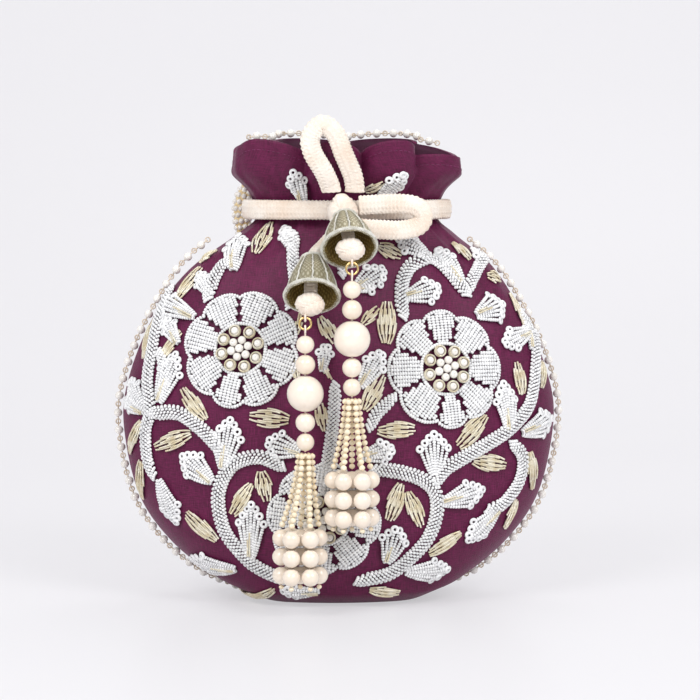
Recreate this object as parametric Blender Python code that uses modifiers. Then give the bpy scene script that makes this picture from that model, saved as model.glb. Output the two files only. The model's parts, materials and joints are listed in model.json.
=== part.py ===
"""Potli bag: a drawstring pouch of maroon raw silk with beaded flowers, a cord bow and two pearl tassels.

Metres, +Z up. The bag stands on its flat base at z = 0, its front faces -Y and +X is to the right of the
photograph. The origin lies on the surface that it stands on, below the middle of the bag with its tassels.
"""

import math

import bmesh
import bpy
from mathutils import Matrix, Vector
from mathutils.bvhtree import BVHTree

MM = 0.001
CLEARANCE = 0.3 * MM        # between pieces that touch

# The bag's body and frill
BODY_WIDTH = 198.4 * MM     # seam to seam at the widest place
BODY_DEPTH = 94.0 * MM      # front to back
NECK_HEIGHT = 175.0 * MM    # where the cord draws the bag in
FRILL_HEIGHT = 36.0 * MM    # above the neck
NECK_WIDTH = 83.0 * MM
NECK_DEPTH = 43.0 * MM
FRILL_WIDTH = 105.0 * MM
FRILL_DEPTH = 62.0 * MM
NECK_SHIFT = 3.5 * MM       # the neck leans this far to the right of the base
BASE_WIDTH = 94.0 * MM      # the flat that each panel stands on, along the seam
SEAM_Y = 14.1 * MM          # the side seams' plane behind the origin
WALL = 2.4 * MM             # silk, padding and lining
SEAM_GAP = 0.2 * MM         # half of the slit between the two panels
FRILL_FOLD = 3.4 * MM       # height of the frill's folds, up and down
GATHER = 0.8 * MM           # height of the gathers below the neck
GATHER_COUNT = 9            # gathers on each panel

# Pearl lace in the side seam and on the back rim
LACE_PEARL = 4.0 * MM
LACE_THREAD = 2.0 * MM
LACE_PITCH = 8.0 * MM
LACE_TOP = NECK_HEIGHT - 12.0 * MM

# Drawstring
CORD_WIDTH = 9.6 * MM
CORD_THICKNESS = 4.4 * MM
KNOT_SIZE = (13.5 * MM, 12.0 * MM, 17.0 * MM)
TAIL_THICKNESS = 6.2 * MM

# Tissue bells on the cord's ends
BELL_GORES = 10
BELL_WALL = 1.1 * MM
BELL_TOP = TAIL_THICKNESS / 2 + 0.5 * MM + BELL_WALL    # outer radii
BELL_MOUTH = 11.6 * MM
END_KNOT_SIZE = (13.0 * MM, 11.0 * MM, 10.5 * MM)

# Tassels
EYE_RADIUS = 1.6 * MM       # thread eyes above and below each jump ring
THREAD = 0.9 * MM
RING_RADIUS = 2.6 * MM
RING_WIRE = 1.0 * MM
STEM_PEARLS = (8.0 * MM, 8.9 * MM, 16.0 * MM, 8.6 * MM, 8.0 * MM)
PEARL_GAP = 0.35 * MM
PEARL_BORE = 1.7 * MM
END_PEARL = 7.9 * MM
END_PITCH = 8.35 * MM       # between neighbouring strands at their pearls
SEED = 2.6 * MM
SEED_PITCH = 3.0 * MM
STRANDS = 7
ROWS = 3
TASSEL_OUT = 17.5 * MM      # the tassels' middle, in front of the body's deepest place
TASSEL_NEST = 1.8 * MM      # how far the two clusters' rims reach into each other's gaps
RIGHT_X = 2.5 * MM
LEFT_X = -18.0 * MM
RIGHT_DROP = 18.7 * MM      # the jump rings' tops below the neck
LEFT_DROP = 42.7 * MM
RIGHT_RUN = 95.5 * MM       # from there down to the first row of end pearls
LEFT_RUN = 96.9 * MM

# Embroidery
FLOWER_RADIUS = 25.5 * MM
FLOWER_PETALS = 7
FLOWER_HEIGHT = 1.5 * MM
HEART_RADIUS = 9.5 * MM
HEART_HEIGHT = 4.0 * MM
STITCH_GAP = 0.45 * MM      # embroidery to silk
VINE = 3.0 * MM

# Handle
HANDLE_ROPE = 9.4 * MM


def clear_scene():
    for obj in list(bpy.data.objects):
        bpy.data.objects.remove(obj)


def collection(name):
    made = bpy.data.collections.new(name)
    bpy.context.scene.collection.children.link(made)
    return made


def material(name, colour, roughness, metallic=0.0):
    made = bpy.data.materials.new(name)
    made.use_nodes = True
    shader = made.node_tree.nodes["Principled BSDF"]
    shader.inputs["Base Color"].default_value = (*colour, 1.0)
    shader.inputs["Roughness"].default_value = roughness
    shader.inputs["Metallic"].default_value = metallic
    return made


clear_scene()
BAG = collection("potli_bag")
GUIDES = collection("cutters")

SILK = material("maroon_silk", (0.13, 0.016, 0.062), 0.55)
CORD = material("cream_cord", (0.83, 0.70, 0.55), 0.8)
PEARL = material("pearl", (0.86, 0.80, 0.70), 0.2)
SEEDS = material("white_seed_beads", (0.85, 0.84, 0.80), 0.3)
TISSUE = material("gold_tissue", (0.55, 0.43, 0.20), 0.5, 0.3)
BRASS = material("gold_wire", (0.80, 0.58, 0.25), 0.3, 1.0)


def add(name, mesh, finish, smooth=True):
    """A mesh becomes a named piece of the bag."""
    mesh.materials.append(finish)
    if smooth:
        mesh.shade_smooth()
        mesh.set_sharp_from_angle(angle=math.radians(50))
    obj = bpy.data.objects.new(name, mesh)
    BAG.objects.link(obj)
    return obj


def smooth_path(points, step):
    """Points about a step apart on a smooth curve through the ones given."""
    points = [Vector(p) for p in points]
    ends = [points[0] * 2 - points[1], *points, points[-1] * 2 - points[-2]]
    path = []
    for a, b, c, d in zip(ends, ends[1:], ends[2:], ends[3:]):
        count = max(1, round((c - b).length / step))
        for i in range(count):
            t = i / count
            path.append(0.5 * (2 * b + (c - a) * t + (2 * a - 5 * b + 4 * c - d) * t**2
                               + (3 * b - a - 3 * c + d) * t**3))
    return path + [points[-1]]


def tube(name, points, thickness, finish, radii=None, closed=False, sides=8):
    """A tube along the points. radii, where given, is one radius for each point."""
    curve = bpy.data.curves.new(name, "CURVE")
    curve.dimensions = "3D"
    curve.bevel_depth = thickness / 2
    curve.bevel_resolution = sides // 2 - 2
    curve.use_fill_caps = not closed
    curve.materials.append(finish)
    spline = curve.splines.new("POLY")
    spline.points.add(len(points) - 1)
    spline.use_cyclic_u = closed
    for i, place in enumerate(points):
        spline.points[i].co = (*place, 1.0)
        if radii:
            spline.points[i].radius = radii[i] / (thickness / 2)
    obj = bpy.data.objects.new(name, curve)
    BAG.objects.link(obj)
    return obj


def as_mesh(obj):
    """Turns a tube into a mesh piece with welded caps."""
    bpy.context.view_layer.update()
    graph = bpy.context.evaluated_depsgraph_get()
    mesh = bpy.data.meshes.new_from_object(obj.evaluated_get(graph))
    form = bmesh.new()
    form.from_mesh(mesh)
    bmesh.ops.remove_doubles(form, verts=form.verts, dist=1e-6)
    bmesh.ops.recalc_face_normals(form, faces=form.faces)
    form.to_mesh(mesh)
    form.free()
    name, place = obj.name, obj.matrix_world.copy()
    bpy.data.objects.remove(obj)
    made = bpy.data.objects.new(name, mesh)
    made.matrix_world = place
    BAG.objects.link(made)
    return made


def join(main, other):
    """Adds another piece to the main one with a Boolean union."""
    other.hide_render = True
    other.display_type = "WIRE"
    BAG.objects.unlink(other)
    GUIDES.objects.link(other)
    union = main.modifiers.new("union_" + other.name, "BOOLEAN")
    union.operation = "UNION"
    union.object = other


# The body's surface.
# Each section runs from the left side seam over the front to the right side seam. It is given by its end
# on the seam and its middle on the front: half width, seam height, depth, middle height. The first four
# make the groove that holds the lace and the flat that the bag stands on.
HALF_WIDTH, HALF_DEPTH = BODY_WIDTH / 2, BODY_DEPTH / 2
HALF_BASE = BASE_WIDTH / 2
LACE_OFFSET = LACE_PEARL / 2 + 1.5 * CLEARANCE
GROOVE = LACE_OFFSET + LACE_PEARL
FRILL_TOP = NECK_HEIGHT + FRILL_HEIGHT


def body_section(width, height, depth, middle=None):
    """A section of the body, from shares of its half width, of the neck's height and of its half depth."""
    middle = height if middle is None else middle
    return (width * HALF_WIDTH, height * NECK_HEIGHT, depth * HALF_DEPTH, middle * NECK_HEIGHT)


def frill_section(height, width, depth):
    """A section of the frill: its height above the neck, and how far it has opened, as shares."""
    z = NECK_HEIGHT + height * FRILL_HEIGHT
    return (NECK_WIDTH / 2 + width * (FRILL_WIDTH - NECK_WIDTH) / 2, z,
            NECK_DEPTH / 2 + depth * (FRILL_DEPTH - NECK_DEPTH) / 2, z)


SECTIONS = [
    (0.64 * HALF_BASE, GROOVE, SEAM_GAP, GROOVE),
    (0.77 * HALF_BASE, GROOVE, 4.2 * MM, GROOVE - 1.0 * MM),
    (0.85 * HALF_BASE, GROOVE, 8.5 * MM, 0.0),
    (HALF_BASE, GROOVE + 0.8 * MM, 0.63 * HALF_DEPTH, 0.0),
    body_section(0.605, 0.070, 0.84, 0.031),
    body_section(0.786, 0.151, 0.957, 0.131),
    body_section(0.932, 0.274, 1.0, 0.269),
    body_section(1.0, 0.457, 0.989),
    body_section(0.973, 0.583, 0.947),
    body_section(0.867, 0.731, 0.83),
    body_section(0.706, 0.863, 0.67),
    body_section(0.504, 0.954, 0.521),
    (NECK_WIDTH / 2, NECK_HEIGHT, NECK_DEPTH / 2, NECK_HEIGHT),
    frill_section(0.30, 0.30, 0.20),
    frill_section(0.58, 1.0, 0.80),
    frill_section(1.0, 0.94, 1.0),
]
FLAT_SECTIONS = 4           # the first ones, joined by straight lines
FLAT_SHARE = 0.55           # of each low section that keeps its middle's height

# Where the frill's folds turn inwards, in degrees round each panel from its right seam
FRONT_VALLEYS = (0, 52, 84, 114, 180)
BACK_VALLEYS = (0, 45, 90, 135, 180)
FRONT_LOBE_DROP = (7.0 * MM, 1.0 * MM, 2.0 * MM, 0.0)
BACK_LOBE_DROP = (4.0 * MM, 0.0, 0.0, 0.0)


def ramp(value, low, high):
    t = min(1.0, max(0.0, (value - low) / (high - low)))
    return t * t * (3 - 2 * t)


def section_at(t):
    """The section at a place along the list, smooth between the rounded ones."""
    low = min(int(t), len(SECTIONS) - 2)
    t -= low
    b, c = Vector(SECTIONS[low]), Vector(SECTIONS[low + 1])
    if low < FLAT_SECTIONS:
        return b.lerp(c, t)
    a = Vector(SECTIONS[low - 1])
    d = Vector(SECTIONS[low + 2]) if low + 2 < len(SECTIONS) else c * 2 - b
    return 0.5 * (2 * b + (c - a) * t + (2 * a - 5 * b + 4 * c - d) * t**2 + (3 * b - a - 3 * c + d) * t**3)


def body_point(angle, t, side):
    """A point of the outer surface. angle runs from the right seam to the left, side is -1 for the front."""
    width, seam_z, depth, middle_z = section_at(t)
    across, forward = math.cos(angle), math.sin(angle)
    edge = max(0.0, (abs(across) - FLAT_SHARE) / (1 - FLAT_SHARE)) ** 2
    z = middle_z + (seam_z - middle_z) * edge
    valleys = FRONT_VALLEYS if side < 0 else BACK_VALLEYS
    drops = FRONT_LOBE_DROP if side < 0 else BACK_LOBE_DROP
    degrees = math.degrees(angle)
    lobe = next(i for i in range(len(drops)) if degrees <= valleys[i + 1] + 1e-6)
    share = (degrees - valleys[lobe]) / (valleys[lobe + 1] - valleys[lobe])
    crest = math.sin(math.pi * min(1.0, max(0.0, share))) ** 0.8
    frill = ramp(z, NECK_HEIGHT - 0.2 * FRILL_HEIGHT, FRILL_TOP)
    gather = ramp(z, 0.55 * NECK_HEIGHT, 0.9 * NECK_HEIGHT) * (1 - 0.6 * frill)
    away_from_seam = math.sin(angle) ** 0.7 if forward > 1e-9 else 0.0
    fold = away_from_seam * (
        FRILL_FOLD * frill * (2 * crest - 1) + GATHER * gather * math.cos(2 * GATHER_COUNT * angle))
    top = ramp(z, FRILL_TOP - 0.6 * FRILL_HEIGHT, FRILL_TOP)
    z -= top * (drops[lobe] * crest + 2.5 * MM * (1 - crest) * away_from_seam)
    lean = NECK_SHIFT * ramp(z, 0.75 * NECK_HEIGHT, NECK_HEIGHT)
    return Vector((lean + (width + fold) * across,
                   side * (SEAM_GAP + max(0.0, depth - SEAM_GAP + fold) * forward), z))


def panel(name, side, columns, rows):
    """One half of the bag: an outer surface and an inner one, half as fine, joined round their edges."""
    def level(j):
        return j if j <= FLAT_SECTIONS else (
            FLAT_SECTIONS + (len(SECTIONS) - 1 - FLAT_SECTIONS) * (j - FLAT_SECTIONS) / (rows - FLAT_SECTIONS))

    def outer(i, j):
        return body_point(math.pi * i / columns, level(j), side)

    def inner(i, j):
        low_i, high_i, low_j, high_j = max(i - 1, 0), min(i + 1, columns), max(j - 1, 0), min(j + 1, rows)
        along = outer(high_i, j) - outer(low_i, j)
        up = outer(i, high_j) - outer(i, low_j)
        normal = up.cross(along).normalized() * -side
        place = outer(i, j) - normal * WALL
        if i in (0, columns) or j == 0:
            place.y = side * SEAM_GAP
        if j == rows:
            place.z = outer(i, j).z
        return place

    form = bmesh.new()
    skin = [[form.verts.new(outer(i, j)) for j in range(rows + 1)] for i in range(columns + 1)]
    lining = [[form.verts.new(inner(i, j)) for j in range(0, rows + 1, 2)] for i in range(0, columns + 1, 2)]
    for grid in (skin, lining):
        for first, second in zip(grid, grid[1:]):
            for a, b, c, d in zip(first, second, second[1:], first[1:]):
                form.faces.new((a, b, c, d))

    def border(grid):
        return ([row[0] for row in grid] + grid[-1][1:]
                + [row[-1] for row in grid[-2::-1]] + grid[0][-2:0:-1])
    fine, coarse = border(skin), border(lining)
    for k, start in enumerate(coarse):
        end = coarse[(k + 1) % len(coarse)]
        a, b, c = fine[2 * k], fine[2 * k + 1], fine[(2 * k + 2) % len(fine)]
        form.faces.new((a, b, start))
        form.faces.new((b, end, start))
        form.faces.new((b, c, end))
    bmesh.ops.recalc_face_normals(form, faces=form.faces)
    surface = BVHTree.FromBMesh(form)
    mesh = bpy.data.meshes.new(name)
    form.to_mesh(mesh)
    form.free()
    return add(name, mesh, SILK), surface


front_panel, FRONT = panel("front_panel", -1, 36, 24)
back_panel, BACK = panel("back_panel", 1, 24, 20)


def on_panel(x, z, lift, surface=FRONT, side=-1):
    """The point a lift above the panel's outer surface at x and z, and the surface's normal there."""
    place, normal, _, _ = surface.ray_cast(Vector((x, side * BODY_DEPTH, z)), Vector((0, -side, 0)))
    return place + normal * lift, normal


# Pearl lace: in the groove between the panels, from one shoulder under the bag to the other
def seam_line():
    """The seam's outline in the plane y = 0, from the left shoulder down and up to the right one."""
    side = []
    steps = [FLAT_SECTIONS * i / 4 for i in range(4)] + [FLAT_SECTIONS + i / 3 for i in range(24)]
    for t in steps:
        place = body_point(0.0, t, -1)
        if place.z <= LACE_TOP:
            side.append(Vector((place.x, 0.0, place.z)))
    return [Vector((-p.x, 0.0, p.z)) for p in reversed(side)] + side


def offset_outwards(line, distance):
    """The line moved away from the bag, square to itself."""
    moved = []
    for i, place in enumerate(line):
        along = line[min(i + 1, len(line) - 1)] - line[max(i - 1, 0)]
        moved.append(place + Vector((along.z, 0.0, -along.x)).normalized() * distance)
    return moved


def evenly(line, pitch):
    """Points a pitch apart along the line."""
    lengths = [0.0]
    for a, b in zip(line, line[1:]):
        lengths.append(lengths[-1] + (b - a).length)
    count = round(lengths[-1] / pitch)
    places, k = [], 0
    for i in range(count + 1):
        want = lengths[-1] * i / count
        while k < len(line) - 2 and lengths[k + 1] < want:
            k += 1
        places.append(line[k].lerp(line[k + 1], (want - lengths[k]) / (lengths[k + 1] - lengths[k])))
    return places


def pearl_string(name, line, pearl, thread, pitch, finish):
    """A thread with a pearl at each pitch, as one tube whose radius swells at the pearls."""
    spots = evenly(line, pitch / 2)
    points, radii = [], []
    for i, place in enumerate(spots):
        if i % 2 == 0:
            points.append(place)
            radii.append(thread / 2)
            continue
        along = (spots[min(i + 1, len(spots) - 1)] - spots[i - 1]).normalized()
        points += [place - along * 0.26 * pearl, place + along * 0.26 * pearl]
        radii += [pearl / 2, pearl / 2]
    return tube(name, points, pearl, finish, radii=radii, sides=6)


pearl_string("seam_pearl_lace", offset_outwards(seam_line(), LACE_OFFSET), LACE_PEARL, LACE_THREAD,
             LACE_PITCH, PEARL)
rim_line = [body_point(math.radians(a), len(SECTIONS) - 1, 1) for a in range(36, 147, 6)]
for place in rim_line:
    place.y -= WALL / 2
    place.z += LACE_PEARL / 2 + CLEARANCE
pearl_string("rim_pearls", rim_line, LACE_PEARL, LACE_THREAD, LACE_PITCH, PEARL)


# Drawstring: a ring round the neck, a knot in front, two loops and the tails
RING_SLACK = GATHER + 0.4 * FRILL_FOLD + 0.4 * MM
RING_HALF_WIDTH = NECK_WIDTH / 2 + RING_SLACK + CORD_THICKNESS / 2
RING_HALF_DEPTH = NECK_DEPTH / 2 + RING_SLACK + CORD_THICKNESS / 2
RING_HEIGHT = NECK_HEIGHT + 0.36 * CORD_WIDTH
KNOT_CENTRE = Vector((0.0, -RING_HALF_DEPTH - CORD_THICKNESS / 2 - CLEARANCE - KNOT_SIZE[1] / 2,
                      NECK_HEIGHT + 2.5 * MM))


def flat_cord(name, points, closed=False):
    """A flat tubular cord, whose width faces the viewer, along points that lie about side by side."""
    squash = CORD_THICKNESS / CORD_WIDTH
    path = points if closed else smooth_path(points, 4.0 * MM)
    obj = tube(name, [(p[0], p[1] / squash, p[2]) for p in path], CORD_WIDTH, CORD)
    obj.scale.y = squash
    return obj


ring_points = [
    (NECK_SHIFT + RING_HALF_WIDTH * math.cos(a), RING_HALF_DEPTH * math.sin(a),
     RING_HEIGHT * CORD_THICKNESS / CORD_WIDTH)
    for a in (math.tau * i / 32 for i in range(32))]
neck_cord = tube("neck_cord", ring_points, CORD_THICKNESS, CORD, closed=True)
neck_cord.scale.z = CORD_WIDTH / CORD_THICKNESS


def rounded(name, centre, size, finish, rings=7, segments=12):
    form = bmesh.new()
    bmesh.ops.create_uvsphere(form, u_segments=segments, v_segments=rings, radius=0.5,
                              matrix=Matrix.LocRotScale(centre, None, size))
    mesh = bpy.data.meshes.new(name)
    form.to_mesh(mesh)
    form.free()
    return add(name, mesh, finish)


rounded("bow_knot", KNOT_CENTRE, KNOT_SIZE, CORD)


def from_knot(dx, dy, dz):
    """A point by the bow's knot, in millimetres from its middle."""
    return KNOT_CENTRE + Vector((dx, dy, dz)) * MM


flat_cord("bow_loop_upper", [
    from_knot(-5.3, 0.0, 9.3), from_knot(-5.6, -0.6, 11.5), from_knot(-8.5, -3.0, 18.0),
    from_knot(-13.8, -5.0, 27.0), from_knot(-14.6, -6.0, 34.0),
    from_knot(-9.5, -6.5, 39.2), from_knot(-3.6, -6.0, 35.0), from_knot(0.2, -4.5, 26.0), from_knot(4.2, -2.0, 17.0),
    from_knot(5.3, -0.6, 11.5), from_knot(5.3, 0.0, 9.3)])
flat_cord("bow_loop_side", [
    from_knot(7.2, 0.0, 3.2), from_knot(17.0, -0.5, 3.8), from_knot(26.0, -1.0, 4.0), from_knot(33.0, -1.0, 2.6),
    from_knot(36.0, -0.8, -1.6), from_knot(33.5, -0.6, -6.0), from_knot(26.0, -0.5, -7.8), from_knot(17.0, 0.0, -7.6),
    from_knot(7.2, 0.0, -7.0)])

# Bells and what hangs from them. Each side gives the jump ring's top, the bell's mouth and top, the first
# row of end pearls, and how far its cluster of pearls is pushed aside by the other one. The bells lie on
# the body's shoulder, so their tops follow its depth and the neck.
TASSEL_Y = -HALF_DEPTH - TASSEL_OUT
TASSEL_SPREAD = 2 * END_PITCH + END_PEARL - TASSEL_NEST
LEFT_EYE = Vector((LEFT_X, TASSEL_Y, NECK_HEIGHT - LEFT_DROP))
RIGHT_EYE = Vector((RIGHT_X, TASSEL_Y, NECK_HEIGHT - RIGHT_DROP))
SIDES = {
    "left": {"eye": LEFT_EYE, "mouth": LEFT_EYE + Vector((3.1, 4.2, 8.7)) * MM,
             "top": Vector((LEFT_X + 3.9 * MM, -HALF_DEPTH, NECK_HEIGHT - 18.2 * MM)),
             "first_row": LEFT_EYE.z - LEFT_RUN, "shift": RIGHT_X - TASSEL_SPREAD - LEFT_X},
    "right": {"eye": RIGHT_EYE, "mouth": RIGHT_EYE + Vector((-0.9, 3.9, 6.0)) * MM,
              "top": Vector((RIGHT_X - 2.1 * MM, -HALF_DEPTH + 0.4 * MM, NECK_HEIGHT + 0.5 * MM)),
              "first_row": RIGHT_EYE.z - RIGHT_RUN, "shift": 0.0},
}


def bell(name, top, mouth):
    """A tissue cone, open at both ends, with a ridge between each two gores."""
    axis = (mouth - top).normalized()
    across = axis.cross(Vector((1, 0, 0))).normalized()
    other = axis.cross(across)
    length = (mouth - top).length
    steps = 2 * BELL_GORES
    # radius and place along the axis, down the outside and back up the inside
    profile = [(BELL_TOP, 0.0), (0.5 * (BELL_TOP + BELL_MOUTH) + 0.4 * MM, 0.42 * length),
               (BELL_MOUTH - 0.5 * MM, 0.86 * length), (BELL_MOUTH + 0.5 * MM, 0.95 * length),
               (BELL_MOUTH, length), (BELL_MOUTH - BELL_WALL, length),
               (0.5 * (BELL_TOP + BELL_MOUTH) + 0.4 * MM - BELL_WALL, 0.42 * length),
               (BELL_TOP - BELL_WALL, 0.0)]
    form = bmesh.new()
    rings = []
    for k, (radius, along) in enumerate(profile):
        ring = []
        for i in range(steps):
            angle = math.tau * i / steps
            ridge = 0.3 * MM * (1 if i % 2 else -1) if k < 4 else 0.0
            out = across * math.cos(angle) + other * math.sin(angle)
            ring.append(form.verts.new(top + axis * along + out * (radius + ridge)))
        rings.append(ring)
    for k in range(len(rings)):
        first, second = rings[k], rings[(k + 1) % len(rings)]
        for i in range(steps):
            j = (i + 1) % steps
            form.faces.new((first[i], first[j], second[j], second[i]))
    bmesh.ops.recalc_face_normals(form, faces=form.faces)
    mesh = bpy.data.meshes.new(name)
    form.to_mesh(mesh)
    form.free()
    return add(name, mesh, TISSUE)


def thread_ring(name, centre, radius, wire, finish, facing):
    """A small round ring. facing is X for an eye seen edge on from the front, Y for a jump ring."""
    points = []
    for i in range(12):
        a = math.tau * i / 12
        points.append(centre + (Vector((0, math.cos(a), math.sin(a))) if facing == "X"
                                else Vector((math.cos(a), 0, math.sin(a)))) * radius)
    return tube(name, points, wire, finish, closed=True, sides=6)


def turned(name, profile, steps, finish, closed):
    """A turned piece. The profile is radius and height, down its outer side."""
    mesh = bpy.data.meshes.new(name)
    count = len(profile)
    edges = [(k, (k + 1) % count) for k in range(count if closed else count - 1)]
    mesh.from_pydata([(x, 0.0, z) for x, z in profile], edges, [])
    obj = add(name, mesh, finish, smooth=False)
    turn = obj.modifiers.new("turn", "SCREW")
    turn.steps = turn.render_steps = steps
    turn.angle = math.tau
    turn.use_merge_vertices = True
    turn.merge_threshold = 0.00001
    turn.use_smooth_shade = True
    return obj


def bored_pearl(name, centre, size, bore):
    """A bead with a hole for its thread."""
    radius, hole = size / 2, bore / 2
    reach = math.acos(hole / radius)
    profile = [(radius * math.cos(reach * k / 3), radius * math.sin(reach * k / 3)) for k in range(3, -4, -1)]
    obj = turned(name, profile, 10, PEARL, closed=True)
    obj.location = centre
    return obj


def hexagon(number, pitch):
    """The middle and six neighbours round it, a pitch apart."""
    if number == 0:
        return Vector((0.0, 0.0, 0.0))
    a = math.tau * number / 6
    return Vector((math.cos(a), math.sin(a), 0.0)) * pitch


def strand(name, number, top, first_row, shift):
    """One string of seed beads that ends in a column of pearls and a last seed bead."""
    tight, wide = hexagon(number, SEED_PITCH), hexagon(number, END_PITCH) + Vector((shift, 0, 0))
    last_seed = top.z - 0.5 * MM
    run_end = first_row + END_PEARL / 2 + 0.8 * MM
    points, radii = [], []
    for k in range(5):
        t = k / 4
        place = Vector((top.x, top.y, last_seed + (run_end - last_seed) * t)) + tight.lerp(wide, t**1.6)
        points.append(place)
        radii.append(SEED / 2)
    foot = points[-1]
    for row in range(ROWS):
        centre = first_row - row * (END_PEARL + 1.5 * CLEARANCE)
        for angle in (62, 24, -24, -62):
            points.append(Vector((foot.x, foot.y, centre + END_PEARL / 2 * math.sin(math.radians(angle)))))
            radii.append(END_PEARL / 2 * math.cos(math.radians(angle)))
    low = points[-1].z
    for drop, radius in ((0.5, 1.1), (2.3, 1.1)):
        points.append(Vector((foot.x, foot.y, low - drop * MM)))
        radii.append(radius * MM)
    return tube(name, points, SEED, PEARL, radii=radii, sides=6)


for side, spec in SIDES.items():
    bell("bell_" + side, spec["top"], spec["mouth"])
    spec["knot"] = Vector((0.7 * spec["mouth"].x + 0.3 * spec["eye"].x, spec["eye"].y + 0.2 * END_KNOT_SIZE[1],
                           spec["eye"].z + EYE_RADIUS + 0.39 * END_KNOT_SIZE[2]))
    end_knot = rounded("end_knot_" + side, spec["knot"], END_KNOT_SIZE, CORD, rings=6, segments=10)
    eye = as_mesh(thread_ring("upper_eye_" + side, spec["eye"], EYE_RADIUS, THREAD, CORD, "X"))
    join(end_knot, eye)
    ring = thread_ring("jump_ring_" + side, spec["eye"] - Vector((0, 0, RING_RADIUS)), RING_RADIUS,
                       RING_WIRE, BRASS, "Y")
    # the stem: an eye round the ring's foot, and a thread down through five pearls
    eye_low = spec["eye"] - Vector((0, 0, 2 * RING_RADIUS))
    stem = as_mesh(thread_ring("stem_" + side, eye_low, EYE_RADIUS, THREAD, CORD, "X"))
    z = eye_low.z - EYE_RADIUS - THREAD / 2 - 2 * CLEARANCE
    for number, size in enumerate(STEM_PEARLS, 1):
        z -= size / 2
        bored_pearl(f"pearl_{side}_{number}", Vector((eye_low.x, eye_low.y, z)), size, PEARL_BORE)
        z -= size / 2 + PEARL_GAP
    foot = Vector((eye_low.x, eye_low.y, z))
    line = as_mesh(tube("stem_thread_" + side, [
        (eye_low.x, eye_low.y, eye_low.z - EYE_RADIUS), (eye_low.x, eye_low.y, z + 0.1 * MM)], THREAD, CORD, sides=8))
    join(stem, line)
    for number in range(STRANDS):
        strand(f"strand_{side}_{number + 1}", number, foot, spec["first_row"], spec["shift"])


# Embroidery: flowers with a pearl heart, and rope stems. Their places are drawn on the panel, so they are
# given in hundredths of its half width, from the middle, and of the neck's height.
def spot(across, up):
    return across / 100 * HALF_WIDTH, up / 100 * NECK_HEIGHT


def flower(name, x, z, turn):
    """A scalloped beaded flower that follows the silk."""
    form = bmesh.new()
    count = 4 * FLOWER_PETALS
    rings = [[form.verts.new(on_panel(x, z, STITCH_GAP)[0])]]
    for share in (0.4, 0.72, 1.0):
        ring = []
        for i in range(count):
            angle = math.tau * i / count + turn
            scallop = 1.0 - (0.11 if share > 0.9 else 0.0) * (1 + math.cos(FLOWER_PETALS * (angle - turn))) / 2
            radius = FLOWER_RADIUS * share * scallop
            ring.append(form.verts.new(
                on_panel(x + radius * math.cos(angle), z + 1.04 * radius * math.sin(angle), STITCH_GAP)[0]))
        rings.append(ring)
    for i in range(count):
        j = (i + 1) % count
        form.faces.new((rings[0][0], rings[1][i], rings[1][j]))
        for first, second in zip(rings[1:], rings[2:]):
            form.faces.new((first[i], second[i], second[j], first[j]))
    bmesh.ops.recalc_face_normals(form, faces=form.faces)
    form.normal_update()
    if sum((f.normal.y for f in form.faces)) > 0:
        bmesh.ops.reverse_faces(form, faces=form.faces)
    mesh = bpy.data.meshes.new(name)
    form.to_mesh(mesh)
    form.free()
    obj = add(name, mesh, SEEDS)
    thick = obj.modifiers.new("thickness", "SOLIDIFY")
    thick.thickness = FLOWER_HEIGHT
    thick.offset = 1.0
    return obj


def heart(name, x, z):
    """A low dome of pearls at a flower's middle."""
    place, normal = on_panel(x, z, STITCH_GAP + FLOWER_HEIGHT + CLEARANCE)
    dome = [(HEART_RADIUS * math.cos(a), HEART_HEIGHT * math.sin(a)) for a in (math.radians(d) for d in (90, 62, 36, 14, 0))]
    obj = turned(name, dome + [(0.0, 0.0)], 14, PEARL, closed=False)
    obj.location = place
    obj.rotation_euler = normal.to_track_quat("Z", "Y").to_euler()
    return obj


def vine(name, points):
    """A rope of beads stitched along the silk."""
    path = smooth_path([(x, 0.0, z) for x, z in (spot(*p) for p in points)], 4.2 * MM)
    lifted = [on_panel(p.x, p.z, STITCH_GAP + VINE / 2)[0] for p in path]
    return tube(name, lifted, VINE, SEEDS, sides=6)


FLOWERS = {"left": (-46.2, 66.3, 0.2), "right": (45.9, 61.1, 0.0), "lower": (-8.1, 23.7, 0.1)}
for place, (across, up, turn) in FLOWERS.items():
    x, z = spot(across, up)
    flower("flower_" + place, x, z, turn)
    heart("flower_heart_" + place, x, z)

VINES = {
    "left_outer": [(-74.6, 81.7), (-81.7, 73.7), (-86.2, 64.0), (-88.2, 54.9), (-88.7, 45.7),
        (-86.7, 37.7), (-81.7, 32.6)],
    "left_inner": [(-81.7, 50.0), (-73.6, 49.1), (-63.5, 46.0), (-54.4, 41.4), (-50.4, 38.6)],
    "left_curl": [(-27.2, 37.1), (-37.3, 38.6), (-47.4, 37.1), (-52.9, 32.6), (-54.4, 26.3),
        (-51.4, 19.4), (-45.4, 14.3), (-38.3, 10.6), (-31.2, 8.0)],
    "left_shoulder": [(-56.5, 87.4), (-51.4, 85.1), (-44.4, 84.0)],
    "right_shoulder": [(29.2, 78.3), (29.2, 84.0), (33.8, 88.3), (42.3, 89.1), (50.4, 86.0),
        (56.5, 81.4)],
    "right_outer": [(75.6, 77.7), (82.2, 70.9), (86.7, 63.4), (88.2, 55.4), (86.2, 49.1), (77.6, 44.6),
        (67.5, 41.4), (56.5, 37.7)],
    "right_lower": [(82.7, 41.1), (84.7, 37.1), (81.7, 31.4), (74.1, 25.7), (65.5, 20.0)],
    "right_curl": [(19.2, 35.7), (29.2, 35.1), (38.3, 32.6), (43.9, 28.6), (44.9, 23.1), (40.8, 17.4),
        (32.8, 12.3), (22.7, 8.6)],
}
for place, points in VINES.items():
    vine("vine_" + place, points)


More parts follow.
